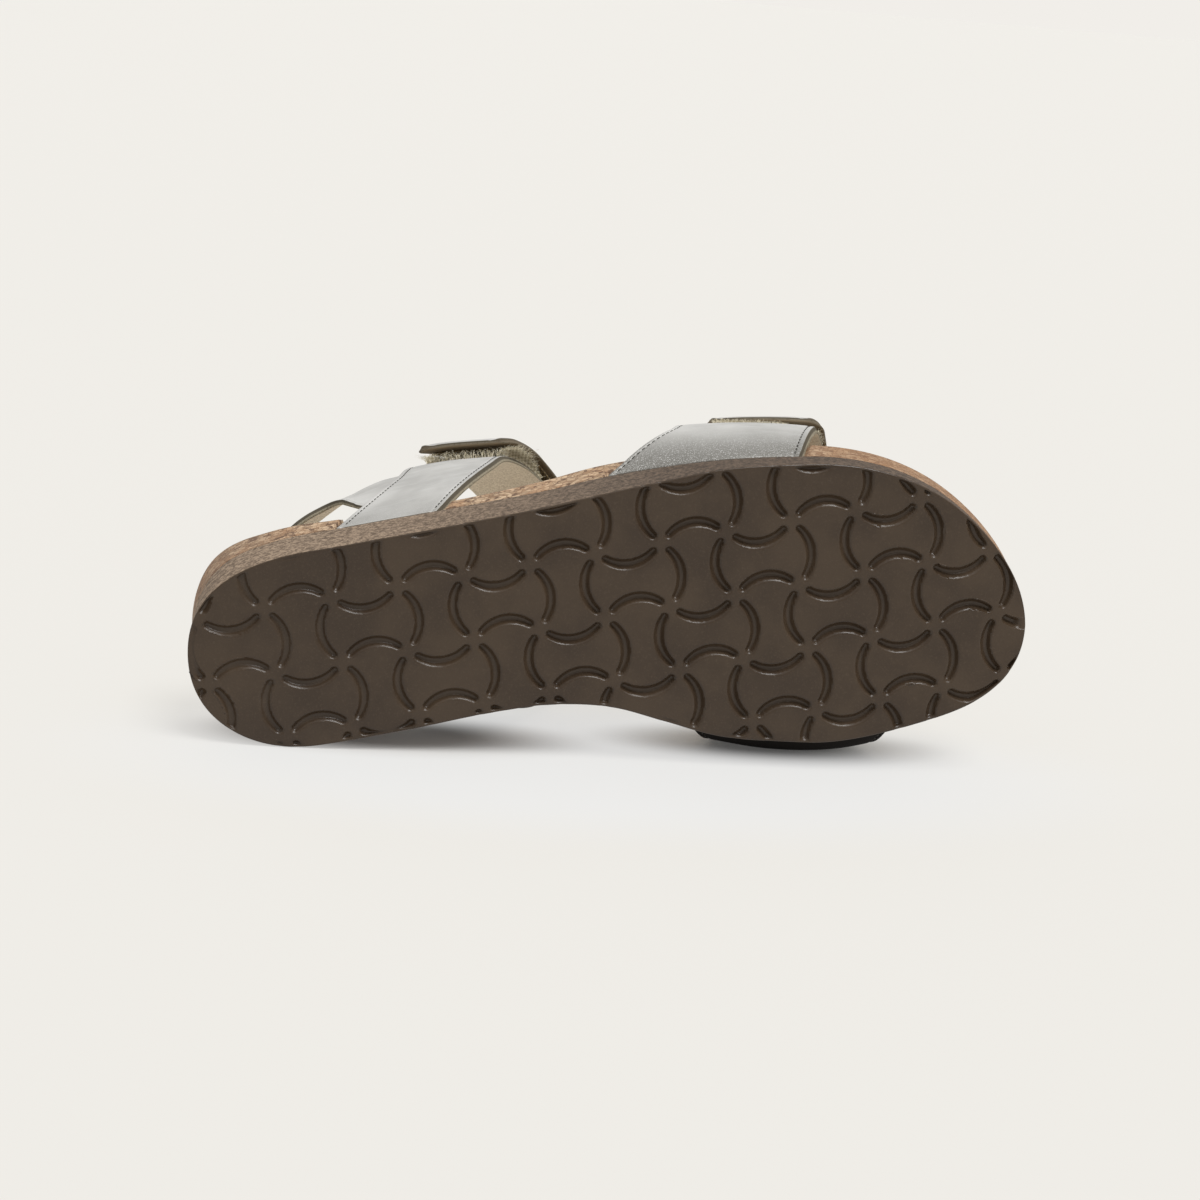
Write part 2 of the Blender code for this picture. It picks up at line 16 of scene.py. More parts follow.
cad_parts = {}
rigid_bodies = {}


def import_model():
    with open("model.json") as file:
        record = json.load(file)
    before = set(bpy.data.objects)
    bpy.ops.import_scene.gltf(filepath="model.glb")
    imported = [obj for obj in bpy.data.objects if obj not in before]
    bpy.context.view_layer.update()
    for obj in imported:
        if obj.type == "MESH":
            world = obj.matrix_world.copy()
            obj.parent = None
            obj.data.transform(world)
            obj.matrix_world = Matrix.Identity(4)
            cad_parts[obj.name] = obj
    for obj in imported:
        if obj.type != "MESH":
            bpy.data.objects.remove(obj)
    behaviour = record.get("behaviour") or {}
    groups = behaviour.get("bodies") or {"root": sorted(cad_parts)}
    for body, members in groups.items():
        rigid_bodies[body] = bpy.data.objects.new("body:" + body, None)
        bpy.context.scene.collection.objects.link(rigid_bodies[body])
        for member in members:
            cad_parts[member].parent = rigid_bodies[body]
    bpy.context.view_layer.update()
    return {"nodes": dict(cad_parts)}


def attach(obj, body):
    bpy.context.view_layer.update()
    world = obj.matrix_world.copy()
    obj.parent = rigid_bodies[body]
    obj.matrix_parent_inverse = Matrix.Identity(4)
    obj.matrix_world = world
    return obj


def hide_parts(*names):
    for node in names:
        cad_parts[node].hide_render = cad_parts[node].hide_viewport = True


for leftover in list(bpy.data.objects):
    bpy.data.objects.remove(leftover, do_unlink=True)
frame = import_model()
print("solids:", sorted(frame["nodes"]))

# %% [markdown]
# ## From the shoemaker's bench to the floor
# A shoe is easiest to describe upright: u runs from heel to toe, v to the medial side and w up from the tread,
# all in millimetres. Here it lies on its medial side, so each point is rolled about the length, the toe is
# lifted a little, and all is shifted. The pose goes into the meshes, so every object stays at the origin.

# %% Laying the sandal down
LYING_ROLL_DEG = -91.40497
TOE_LIFT_DEG = 4.82916
FLOOR_SHIFT = np.array([-131.11845, -58.65933, 32.06858])
METRES = 0.001


def lying_turn():
    """Rotation of the upright sandal: the roll about u first, then the lift of the toe about the side."""
    roll, lift = math.radians(LYING_ROLL_DEG), math.radians(TOE_LIFT_DEG)
    cosine, sine = math.cos(roll), math.sin(roll)
    about_length = np.array([[1, 0, 0], [0, cosine, -sine], [0, sine, cosine]])
    cosine, sine = math.cos(lift), math.sin(lift)
    about_side = np.array([[cosine, 0, -sine], [0, 1, 0], [sine, 0, cosine]])
    return about_side @ about_length


LYING_TURN = lying_turn()


def laid(points):
    """Points of the upright sandal in millimetres, turned, shifted and given in the scene's metres."""
    return (points @ LYING_TURN.T + FLOOR_SHIFT) * METRES


print("the toe tip lies at", laid(np.array([260.0, 0.0, 5.0])).round(3))

# %% [markdown]
# ## One helper for all meshes
# Nearly every piece is a closed ring of points carried along the shoe or along a strap. The rings make a grid,
# and quads join neighbouring rings. A piece's faces must point outwards: the signed volume of the closed mesh
# tells, and a negative one turns every face round. Values such as a groove's depth go along as attributes.

# %% Meshes from rings of points
def ring_quads(rows, columns):
    """Corners of the quads between each ring and the next, the last column joined to the first."""
    index = np.arange(rows * columns).reshape(rows, columns)
    beside = np.roll(index, -1, axis=1)
    return np.stack([index[:-1], beside[:-1], beside[1:], index[1:]], -1).reshape(-1, 4)


def signed_volume(points, quads):
    """Sum over the quads, split in two, of the triple products of their corners, over six."""
    a, b, c, d = (points[quads[:, k]] for k in range(4))
    triple = np.einsum("ij,ij->i", a, np.cross(b, c)) + np.einsum("ij,ij->i", a, np.cross(c, d))
    return triple.sum() / 6


def add_piece(name, points, quads, caps, nodes, slot, **attributes):
    """Object of quads and many-sided cap faces on points of the upright sandal, riding on the one body."""
    points = laid(points.reshape(-1, 3))
    order = -1 if signed_volume(points - points.mean(0), quads) < 0 else 1
    faces = [quads[:, ::order].ravel(), *(np.asarray(cap)[::order] for cap in caps)]
    sizes = np.concatenate([np.full(len(quads), 4), [len(cap) for cap in caps]]).astype(int)
    mesh = bpy.data.meshes.new(name)
    mesh.vertices.add(len(points))
    mesh.vertices.foreach_set("co", points.ravel())
    mesh.loops.add(sizes.sum())
    mesh.loops.foreach_set("vertex_index", np.concatenate(faces).astype(np.int32))
    mesh.polygons.add(len(sizes))
    mesh.polygons.foreach_set("loop_start", np.concatenate([[0], sizes.cumsum()[:-1]]).astype(np.int32))
    mesh.update(calc_edges=True)
    mesh.validate()
    mesh.shade_smooth()
    for label, values in attributes.items():
        layer = mesh.attributes.new(label, "FLOAT", "POINT")
        layer.data.foreach_set("value", np.asarray(values, np.float32).ravel())
    piece = bpy.data.objects.new(name, mesh)
    bpy.context.scene.collection.objects.link(piece)
    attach(piece, "root")
    if nodes:
        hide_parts(*nodes)
    print(name, len(quads) * 2, "triangles")
    return piece


def loft_piece(name, rings, node, slot, **attributes):
    """Piece of closed rings one after another, with the first and the last ring filled."""
    rows, columns = rings.shape[:2]
    ring = np.arange(columns)
    ends = [ring[::-1], ring + (rows - 1) * columns]
    return add_piece(name, rings, ring_quads(rows, columns), ends, [node], slot, **attributes)


# %% [markdown]
# ## Tables and smooth curves
# A last-maker writes a shoe down as a table of sections. The sole's rows are those of the solids. Between rows
# a cubic curve keeps position and slope, so the sole has no kinks at its sections.

# %% Sections of the sole
LENGTH = 260.0
GAP = 0.3
LATERAL, MEDIAL = -1, 1

Sole = namedtuple("Sole", "along width centre flare outsole rim_lateral rim_medial middle")
SOLE = (
    Sole(0.00, 61.0, 5.5, -0.03, 20.5, 11.4, 11.4, 11.0),
    Sole(0.03, 61.0, 5.4, 0.05, 20.8, 11.6, 11.8, 8.0),
    Sole(0.10, 61.0, 5.0, 0.06, 21.0, 10.2, 11.8, 5.2),
    Sole(0.25, 61.3, 0.0, 0.07, 20.5, 7.0, 13.5, 5.6),
    Sole(0.35, 61.0, -4.4, 0.08, 19.2, 6.8, 15.6, 6.2),
    Sole(0.42, 62.2, -7.0, 0.08, 18.4, 8.6, 15.4, 7.2),
    Sole(0.50, 68.1, -8.3, 0.08, 18.4, 10.6, 13.4, 7.6),
    Sole(0.56, 76.0, -7.3, 0.07, 16.6, 11.0, 12.0, 7.2),
    Sole(0.62, 83.8, -6.2, 0.06, 12.8, 11.6, 11.4, 6.8),
    Sole(0.72, 88.2, -5.2, 0.06, 10.8, 11.6, 11.0, 5.8),
    Sole(0.88, 88.2, -3.0, 0.08, 9.4, 9.6, 9.4, 5.0),
    Sole(1.00, 88.2, 4.5, 0.08, 8.6, 8.0, 8.0, 7.6),
)


def column(rows, name, at):
    """Cubic curve through one column of a table, with slopes taken from the neighbouring rows."""
    x = np.array([row.along for row in rows])
    y = np.array([getattr(row, name) for row in rows])
    at = np.clip(np.asarray(at, float), x[0], x[-1])
    slope = np.gradient(y, x)
    i = np.clip(np.searchsorted(x, at, side="right") - 1, 0, len(x) - 2)
    span = x[i + 1] - x[i]
    t = (at - x[i]) / span
    ends = y[i] * (1 + 2 * t) * (1 - t) ** 2 + y[i + 1] * t**2 * (3 - 2 * t)
    return ends + span * (slope[i] * t * (1 - t) ** 2 - slope[i + 1] * t**2 * (1 - t))


def ease(t):
    """Smooth step: three times the square less twice the cube, between 0 and 1."""
    t = np.clip(t, 0.0, 1.0)
    return t * t * (3 - 2 * t)


print("tread width at the ball:", column(SOLE, "width", 0.72).round(1), "mm")

# %% [markdown]
# ## Outline and sides of the sole
# The outline is half the width to each side of a centre line, and superellipses round off the heel and the
# toe. The sides lean out along the outline's normal, except the medial one, which leans in a little.

# %% The sole as a surface
HEEL_ROUND, HEEL_POWER, TOE_ROUND = 40.0, 2.2, 70.0
TOE_SPRING, SPRING_START = 4.0, 0.74
HEEL_BEVEL, HEEL_BEVEL_LENGTH = 1.5, 20.0
CORK_FLARE, MEDIAL_FLARE = 0.11, -0.25
STRAIGHT_FROM_HEEL, STRAIGHT_FROM_TOE = 25.0, 60.0
TIP = 0.003


def tread_rise(u):
    """Height of the tread: a quadratic toe spring and a quadratic bevel at the heel."""
    toe = np.clip((u / LENGTH - SPRING_START) / (1 - SPRING_START), 0, 1)
    heel = np.clip(1 - u / HEEL_BEVEL_LENGTH, 0, 1)
    return TOE_SPRING * toe**2 + HEEL_BEVEL * heel**2


def outsole_top(u):
    """The tread's height plus the wedge's thickness."""
    return tread_rise(u) + column(SOLE, "outsole", u / LENGTH)


def tread_edge(u, side):
    """Centre line plus or minus half the width, times the superellipses of the heel and the toe."""
    heel = np.clip(1 - u / HEEL_ROUND, 0, 1) ** HEEL_POWER
    toe = np.clip(1 - (LENGTH - u) / TOE_ROUND, 0, 1) ** 2
    roundness = (1 - heel) ** (1 / HEEL_POWER) * np.sqrt(1 - toe)
    return column(SOLE, "centre", u / LENGTH) + side * column(SOLE, "width", u / LENGTH) / 2 * roundness


def sole_edge(u, side, w):
    """Outline at station u, moved along its normal by the flare times the height."""
    nudge = TIP / 5
    slope = (tread_edge(u + nudge, side) - tread_edge(u - nudge, side)) / (2 * nudge)
    straight = ease(u / STRAIGHT_FROM_HEEL) * ease((LENGTH - u) / STRAIGHT_FROM_TOE)
    share = 1 + (MEDIAL_FLARE - 1) * straight * (side == MEDIAL)
    lean = column(SOLE, "flare", u / LENGTH) * w + CORK_FLARE * np.clip(w - outsole_top(u), 0, None)
    out = lean * share / np.sqrt(1 + slope**2)
    return np.stack(np.broadcast_arrays(u - side * slope * out, tread_edge(u, side) + side * out, w), -1)


def sole_point(u, s, w):
    """Straight line at height w from the lateral edge, s = -1, to the medial edge, s = 1."""
    share = ((np.asarray(s) + 1) / 2)[..., None]
    return sole_edge(u, LATERAL, w) * (1 - share) + sole_edge(u, MEDIAL, w) * share


def sole_stations(count):
    """Stations whose steps along the outline, averaged over both sides, are equally long."""
    fine = TIP + (LENGTH - 2 * TIP) * (1 - np.cos(np.linspace(0, math.pi, 6000))) / 2
    runs = [np.hypot(np.diff(fine), np.diff(tread_edge(fine, side))) for side in (LATERAL, MEDIAL)]
    run = np.concatenate([[0], np.cumsum(sum(runs) / 2)])
    return np.interp(np.linspace(0, run[-1], count), run, fine)


print("outsole under the heel:", outsole_top(26.0).round(1), "mm")

# %% [markdown]
# ## The tread
# The tread is a common moulded pattern: curved slots between the nodes of a square lattice, bulging to
# alternate sides, so that four of them make a pinwheel round each node. Cutting each slot with a boolean
# would leave long thin faces. A height field is simpler: the distance from the nearest slot's middle line
# gives the depth, and points near a slot's rim are moved onto it so that the rim stays crisp.

# %% Curved slots as a distance
TREAD_PITCH, TREAD_TURN_DEG, TREAD_ORIGIN = 20.36, -8.0, (23.5, -9.0)
SLOT_WIDTH, SLOT_TIP_WIDTH, SLOT_DEPTH, SLOT_RADIUS, SLOT_RISE, SLOT_END = 3.9, 3.1, 2.1, 11.5, 4.9, 1.2


def arc_share(along, rise):
    """Distance from an arc over the half width there, which shrinks with the square of the angle, or from
    the nearer of its ends beyond them: 0 on the middle line and 1 on the rim."""
    reach = math.asin((TREAD_PITCH / 2 - SLOT_END - SLOT_TIP_WIDTH / 2) / SLOT_RADIUS)
    lift = rise - (SLOT_RISE - SLOT_RADIUS)
    angle = np.arctan2(along, lift)
    half = (SLOT_WIDTH - (SLOT_WIDTH - SLOT_TIP_WIDTH) * np.minimum(np.abs(angle) / reach, 1) ** 2) / 2
    on_arc = np.abs(np.hypot(along, lift) - SLOT_RADIUS)
    tip = np.hypot(np.abs(along) - SLOT_RADIUS * math.sin(reach), lift - SLOT_RADIUS * math.cos(reach))
    return np.where(np.abs(angle) <= reach, on_arc, tip) / half


def slot_share(u, v):
    """Least share of the four slots on the sides of the lattice cell that holds the point."""
    turn = math.radians(TREAD_TURN_DEG)
    a, b = u - TREAD_ORIGIN[0], v - TREAD_ORIGIN[1]
    x = (a * math.cos(turn) + b * math.sin(turn)) / TREAD_PITCH
    y = (b * math.cos(turn) - a * math.sin(turn)) / TREAD_PITCH
    i, j = np.floor(x), np.floor(y)
    nearest = np.full(np.shape(x), 99.0)
    for di, dj, along_rows in ((0, 0, True), (0, 1, True), (0, 0, False), (1, 0, False)):
        swing = np.where((i + di + j + dj) % 2 == 0, -1, 1)
        beside_x, beside_y = x - i - di, y - j - dj
        along, rise = (beside_x - 0.5, beside_y * swing) if along_rows else (beside_y - 0.5, -beside_x * swing)
        nearest = np.minimum(nearest, arc_share(along * TREAD_PITCH, rise * TREAD_PITCH))
    return nearest


print("depth of a slot:", SLOT_DEPTH, "mm, width:", SLOT_WIDTH, "mm")

# %% [markdown]
# ## The outsole
# One ring per station: across the tread, round a small fillet, up the sanded side, and back over the top,
# which the cork covers. Walking wears the heel first, so the slots are shallower there, and they end just
# short of the tread's edge. Two attributes tell the finish where the slots and where the sanded sides are.

# %% Tread and sides as one closed loft
FILLET = 0.6
FILLET_TURN = np.radians([25.0, 50.0, 70.0, 90.0])[None, :]
SIDE_CLIMB = np.linspace(0.06, 0.97, 9)[None, :]
OUTSOLE_STATIONS, TREAD_COLUMNS, TOP_COLUMNS = 480, 171, 8
SHOULDER, SNAP_REACH = 0.25, 0.3
WORN_AT_HEEL, WORN_LENGTH = 0.62, 150.0
SLOT_STOP, STOP_INSET, END_STOP, END_EASE = 1.0, 0.4, 1.0, 3.0
COVERED = 0.9


def slot_depth(share):
    """Channel with a soft shoulder: the depth, eased to nothing from a quarter of the half width to the rim."""
    return SLOT_DEPTH * (1 - ease((share - SHOULDER) / (1 - SHOULDER)))


def snapped(points):
    """Points within reach of a slot's rim, moved to it down the slope of the share."""
    u, v, step = points[..., 0], points[..., 1], 0.02
    slope_u = (slot_share(u + step, v) - slot_share(u - step, v)) / (2 * step)
    slope_v = (slot_share(u, v + step) - slot_share(u, v - step)) / (2 * step)
    steep = np.maximum(slope_u**2 + slope_v**2, 0.05)
    short = (slot_share(u, v) - 1) / steep
    short = np.where(np.abs(short) * np.sqrt(steep) < SNAP_REACH, short, 0.0)
    return np.stack([u - short * slope_u, v - short * slope_v, points[..., 2]], -1)


def outsole_rings():
    """Closed rings: tread, fillet and medial side, top, lateral side and fillet, with their attributes."""
    u = sole_stations(OUTSOLE_STATIONS)[:, None]
    width = tread_edge(u, MEDIAL) - tread_edge(u, LATERAL)
    low, high = tread_rise(u), outsole_top(u)
    fillet = np.minimum(FILLET, 0.25 * width)
    s = np.linspace(-1, 1, TREAD_COLUMNS)[None, :] * (1 - 2 * fillet / width)
    tread = sole_point(u, s, low)
    tread[4:-4, 2:-2] = snapped(tread[4:-4, 2:-2])
    cut = slot_depth(slot_share(tread[..., 0], tread[..., 1]))
    cut = cut * (WORN_AT_HEEL + (1 - WORN_AT_HEEL) * ease(u / WORN_LENGTH))
    cut = cut * ease((1 - np.abs(s)) * width / 2 / SLOT_STOP - STOP_INSET)
    cut = cut * ease((np.minimum(u, LENGTH - u) - END_STOP) / END_EASE)
    tread[..., 2] = low + cut

    def side(which, edge_cut):
        """A quarter round of the fillet's radius, then straight up to the top."""
        start = low + edge_cut
        in_by = np.concatenate([fillet * (1 - np.sin(FILLET_TURN)), 0 * (SIDE_CLIMB + u), 0.5 * fillet], 1)
        heights = [start + fillet * (1 - np.cos(FILLET_TURN))]
        heights += [start + fillet + (high - start - fillet) * SIDE_CLIMB, high]
        return sole_point(u, which * (1 - 2 * in_by / width), np.concatenate(heights, 1))

    medial, lateral = side(MEDIAL, cut[:, -1:]), side(LATERAL, cut[:, :1])
    top = sole_point(u, np.linspace(COVERED, -COVERED, TOP_COLUMNS)[None, :] + 0 * u, high)
    rings = np.concatenate([tread, medial, top, lateral[:, ::-1]], 1)
    slots = np.concatenate([cut / SLOT_DEPTH, np.zeros((len(u), rings.shape[1] - TREAD_COLUMNS))], 1)
    sanded = np.zeros(rings.shape[:2])
    sanded[:, TREAD_COLUMNS + 2 : -2] = 1.0
    return rings, slots, sanded


rings, slots, sanded = outsole_rings()
tread_outsole = loft_piece("tread_outsole", rings, "outsole", "foam_rubber", groove=slots, sanded=sanded)

# %% [markdown]
# ## The last
# A last is the form of the foot that a shoe is built on, and the straps follow it. It comes before the
# footbed, because the legs of the straps are let into the footbed's sides. In section it is a parabola from
# the sole to the widest level, and an arch from there to the crest.

# %% The last
LEATHER = 2.2
ARCH_POWER = 2.4
Last = namedtuple("Last", "along lateral lateral_at medial medial_at crest crest_v")
LAST = (
    Last(0.15, -28.0, 68.0, 33.0, 58.0, 132.0, 2.0),
    Last(0.25, -33.4, 68.0, 34.0, 56.0, 126.0, 0.0),
    Last(0.31, -37.0, 66.0, 34.6, 55.0, 120.0, -2.0),
    Last(0.42, -41.0, 58.0, 35.5, 50.0, 107.0, -5.0),
    Last(0.49, -46.6, 43.0, 37.0, 42.0, 97.0, -6.0),
    Last(0.55, -51.6, 37.0, 38.8, 32.0, 83.0, -6.0),
    Last(0.62, -53.6, 38.0, 41.4, 27.0, 70.0, -6.0),
    Last(0.70, -53.8, 38.0, 44.9, 23.5, 62.0, -5.0),
    Last(0.78, -51.8, 36.0, 45.5, 22.5, 55.0, -3.0),
    Last(0.88, -44.0, 30.0, 40.6, 22.0, 46.0, 0.0),
)


def last_side(u, w, side):
    """Sideways reach: a parabola from the sole to the widest level, a superellipse from there to the crest."""
    at = u / LENGTH
    name = "medial" if side == MEDIAL else "lateral"
    widest, level = column(LAST, name, at), column(LAST, name + "_at", at)
    crest, middle = column(LAST, "crest", at), column(LAST, "crest_v", at)
    low = outsole_top(u) + GAP
    foot = sole_point(u, side, low)[..., 1] - side * LEATHER
    below = widest + (foot - widest) * (1 - np.minimum((w - low) / (level - low), 1)) ** 2
    rise = np.clip((w - level) / (crest - level), 0, 1) ** ARCH_POWER
    above = middle + (widest - middle) * (1 - rise) ** (1 / ARCH_POWER)
    return np.where(w < level, below, above)


print("the last is", (last_side(182.0, 25.0, MEDIAL) - last_side(182.0, 25.0, LATERAL)).round(1), "mm wide")

# %% [markdown]
# ## Where the straps run
# A strap's path goes over the last from the lateral edge of the sole to the medial one, and a table gives its
# two edges along it. A strap is cut from flat leather with smooth edges, so the table is read by the length
# along the strap. Read by the path alone, the edges would bend where the foot's sides turn over to its top.
# Below the front flap, the strap reaches further back than the flap does.

# %% Edges of the straps
Edges = namedtuple("Edges", "along rear front")
StrapTable = namedtuple("StrapTable", "path length rows")


def last_point(u, path):
    """Path 0 and 1 at the sole, 0.25 and 0.75 at the widest levels, 0.5 at the crest."""
    at = u / LENGTH
    medial = path > 0.5
    t = np.where(medial, 1 - path, path) * 4
    level = np.where(medial, column(LAST, "medial_at", at), column(LAST, "lateral_at", at))
    crest = column(LAST, "crest", at)
    low = outsole_top(u) + GAP
    turn = np.clip(t - 1, 0, 1) * math.pi / 2
    w = np.where(t < 1, low + (level - low) * t, level + (crest - level) * np.sin(turn) ** (2 / ARCH_POWER))
    v = np.where(medial, last_side(u, w, MEDIAL), last_side(u, w, LATERAL))
    return np.stack(np.broadcast_arrays(u, v, w), -1)


def run_length(points):
    """Length along a row of points up to each of them: the running sum of its steps, from 0."""
    return np.concatenate([[0], np.linalg.norm(np.diff(points, axis=0), axis=1).cumsum()])


def by_length(*rows):
    """A strap's table by the length along its middle, so that its edges stay smooth where the last's sides
    turn over to its top; path and length give one for the other."""
    path = np.linspace(0, 1, 1501)
    middle = (column(rows, "rear", path) + column(rows, "front", path)) / 2
    length = run_length(last_point(middle, path))
    return StrapTable(path, length, [row._replace(along=np.interp(row.along, path, length)) for row in rows])


def strap_edges(strap, path):
    """Rear and front edge of a strap at a place of its path."""
    at = np.interp(path, strap.path, strap.length)
    return column(strap.rows, "rear", at), column(strap.rows, "front", at)


FRONT_ROWS = (
    Edges(0.00, 132.0, 190.0),
    Edges(0.25, 156.0, 199.0),
    Edges(0.34, 165.5, 203.5),
    Edges(0.50, 171.0, 209.0),
    Edges(0.75, 162.0, 216.0),
    Edges(1.00, 153.0, 221.0),
)
STRAP_WIDER = (2.5, 4.5, 5.5, 3.0, 0.0, 0.0)
INSTEP_ROWS = (
    Edges(0.00, 45.0, 78.5),
    Edges(0.25, 65.0, 98.0),
    Edges(0.33, 74.0, 106.0),
    Edges(0.40, 90.0, 115.0),
    Edges(0.50, 103.0, 131.0),
    Edges(0.75, 84.0, 111.0),
    Edges(1.00, 63.0, 90.0),
)
FRONT_FLAP, INSTEP_STRAP = by_length(*FRONT_ROWS), by_length(*INSTEP_ROWS)
FRONT_STRAP = by_length(*(row._replace(rear=row.rear - wider) for row, wider in zip(FRONT_ROWS, STRAP_WIDER)))
LEG_MARGIN, LEG_EASE = 0.4, 0.5


def leg_room(points):
    """Points of the footbed, held inside the last less a gap wherever a strap's leg runs past them."""
    u, v, w = points[..., 0], points[..., 1], points[..., 2]
    at, low = u / LENGTH, outsole_top(u) + GAP
    for side in (LATERAL, MEDIAL):
        level = column(LAST, "medial_at" if side == MEDIAL else "lateral_at", at)
        path = np.clip((w - low) / (level - low), 0, 1) / 4
        path = 1 - path if side == MEDIAL else path
        limit = side * last_side(u, np.maximum(w, low), side) - GAP
        for strap in (FRONT_STRAP, INSTEP_STRAP):
            rear, front = strap_edges(strap, path)
            inside = np.minimum(u - rear, front - u)
            mask = ease((inside + LEG_MARGIN + LEG_EASE) / LEG_EASE)
            v = v - side * mask * np.maximum(side * v - limit, 0)
    return np.stack([u, v, w], -1)


print("legs let in along", [strap.rows[0][1:] for strap in (FRONT_STRAP, INSTEP_STRAP)])

# %% [markdown]
# ## The cork footbed
# Ground cork pressed into a dish: high at the rims, low in the middle, with a rounded, sealed rim. Where the
# leg of a strap is let into its side, the side steps back to the leg's inner face.

# %% Cork as a closed loft
DISH_POWER = 3.0
RIM_ROUND, RIM_TURN = 1.5, np.radians([22.0, 45.0, 68.0])[None, :]
GLUE = 0.02
CORK_STATIONS, BASE_COLUMNS, CORK_CLIMB, DISH_COLUMNS = 520, 8, 13, 41


def footbed_top(u, s):
    """The middle's height plus the rim's excess times the cube of the share across."""
    at = u / LENGTH
    middle = column(SOLE, "middle", at)
    rim = np.where(s < 0, column(SOLE, "rim_lateral", at), column(SOLE, "rim_medial", at))
    return outsole_top(u) + GAP + middle + (rim - middle) * np.abs(s) ** DISH_POWER


def cork_rings():
    """Closed rings: base, medial side and rounded rim, dish, lateral rim and side; rim marks the top edge."""
    u = sole_stations(CORK_STATIONS)[:, None]
    width = tread_edge(u, MEDIAL) - tread_edge(u, LATERAL)
    low = outsole_top(u) + GLUE
    round_off = np.minimum(RIM_ROUND, 0.2 * width)
    climb = np.linspace(0, 1, CORK_CLIMB)[None, :]

    def side(which):
        """Straight up to the shoulder, then an arc in to the crest of the rim."""
        rim = footbed_top(u, which * np.ones_like(u))
        inner = which * (1 - 2 * round_off / width)
        shoulder, crest = rim - round_off, footbed_top(u, inner)
        heights = [low + (shoulder - low) * climb, shoulder + (crest - shoulder) * np.sin(RIM_TURN)]
        in_by = np.concatenate([0 * (climb + u), round_off * (1 - np.cos(RIM_TURN))], 1)
        return sole_point(u, which * (1 - 2 * in_by / width), np.concatenate(heights, 1))

    base = sole_point(u, np.linspace(-COVERED, COVERED, BASE_COLUMNS)[None, :] + 0 * u, low)
    s = np.linspace(1, -1, DISH_COLUMNS)[None, :] * (1 - 2 * round_off / width)
    dish = sole_point(u, s, footbed_top(u, s))
    rings = np.concatenate([base, side(MEDIAL), dish, side(LATERAL)[:, ::-1]], 1)
    rim = np.zeros(rings.shape[:2])
    rim[:, BASE_COLUMNS + CORK_CLIMB : -CORK_CLIMB] = 1.0
    return leg_room(rings), rim


rings, rim = cork_rings()
cork_layer = loft_piece("cork_layer", rings, "cork_footbed", "cork", rim=rim)

# %% [markdown]
# ## The suede cover
# A thin sheet glued into the dish, stopping just inside the rim. It is the dish again, lifted by its own
# thickness, with a rounded edge, and it makes the same room for the legs of the straps.

# %% Suede sheet in the dish
COVER, COVER_EDGE, COVER_INSET, COVER_LIFT, COVER_ROUND = 1.4, 0.97, 1.2, 0.15, 0.7
COVER_STATIONS, COVER_COLUMNS = 320, 45


def suede_rings():
    """Closed rings: underside from lateral to medial, round the edge, and the upper side back, with the
    outline of the sole drawn in across and along."""
    u = sole_stations(COVER_STATIONS)[1:-1, None]
    inner = LENGTH / 2 + (u - LENGTH / 2) * (1 - 2 * COVER_INSET / LENGTH)
    across = np.linspace(-1, 1, COVER_COLUMNS)[None, :] * COVER_EDGE
    under = sole_point(u, across + 0 * u, footbed_top(inner, across) + COVER_LIFT)
    over = sole_point(u, across + 0 * u, footbed_top(inner, across) + GAP + COVER)
    over[..., 2] -= COVER_ROUND * (np.abs(across) > COVER_EDGE - 0.01)
    rings = np.concatenate([under, over[:, ::-1]], 1)
    rings[..., 0] += inner - u
    return leg_room(rings)


suede_footbed = loft_piece("suede_footbed", suede_rings(), "insole_cover", "suede")

# %% [markdown]
# ## Leather straps
# Each strap is a strip of leather with a suede lining, cut with a slightly sloping edge and stitched close to
# it. In section it is a flat trapezium with rounded corners. That section is carried along the strap's path
# over the last, standing on the last's normal, so the strip keeps its thickness wherever it bends.

# %% The surface under a strap
STEP, LEVEL_HEIGHT = 1e-3, 5.0


def over_foot(strap, skew=0.0, skew_from=0.3, skew_to=0.5):
    """Function of path and share across that gives a strap's points on the last; skew turns a free end by
    running the path ahead on one side and behind on the other, eased out towards skew_to."""
    def point(path, across):
        """The last at the turned path, that share of the way from the rear to the front edge."""
        turned = path + skew * (0.5 - across) * (1 - ease((path - skew_from) / (skew_to - skew_from)))
        rear, front = strap_edges(strap, turned)
        return last_point(rear + (front - rear) * across, turned)
    return point


def unit(vectors):
    """Vectors over their lengths."""
    return vectors / np.linalg.norm(vectors, axis=-1, keepdims=True)


def away_from_foot(point, path, across):
    """Unit cross product of the steps across and along, turned level where the leg enters the sole."""
    run = point(path + STEP, across) - point(path - STEP, across)
    span = point(path, across + STEP) - point(path, across - STEP)
    here, normal = point(path, across), unit(np.cross(span, run))
    normal[..., 2] *= ease((here[..., 2] - outsole_top(here[..., 0])) / LEVEL_HEIGHT)
    return unit(normal)


def even_path(point, start, end, step):
    """Path values between two ends whose steps along the strap's middle are equally long, and their run."""
    fine = np.linspace(start, end, 3000)
    run = run_length(point(fine, 0.5 * np.ones_like(fine)))
    even = np.linspace(0, run[-1], int(run[-1] / step) + 2)
    return np.interp(even, run, fine), even


def strap_width(point, path):
    """Distance between the two edges of a strap at each place of its path."""
    ends = point(path[:, None], np.array([[0.0, 1.0]]))
    return np.linalg.norm(ends[:, 1] - ends[:, 0], axis=-1)


print("the front strap at its lateral side:", strap_width(over_foot(FRONT_STRAP), np.array([0.25])).round(1), "mm")

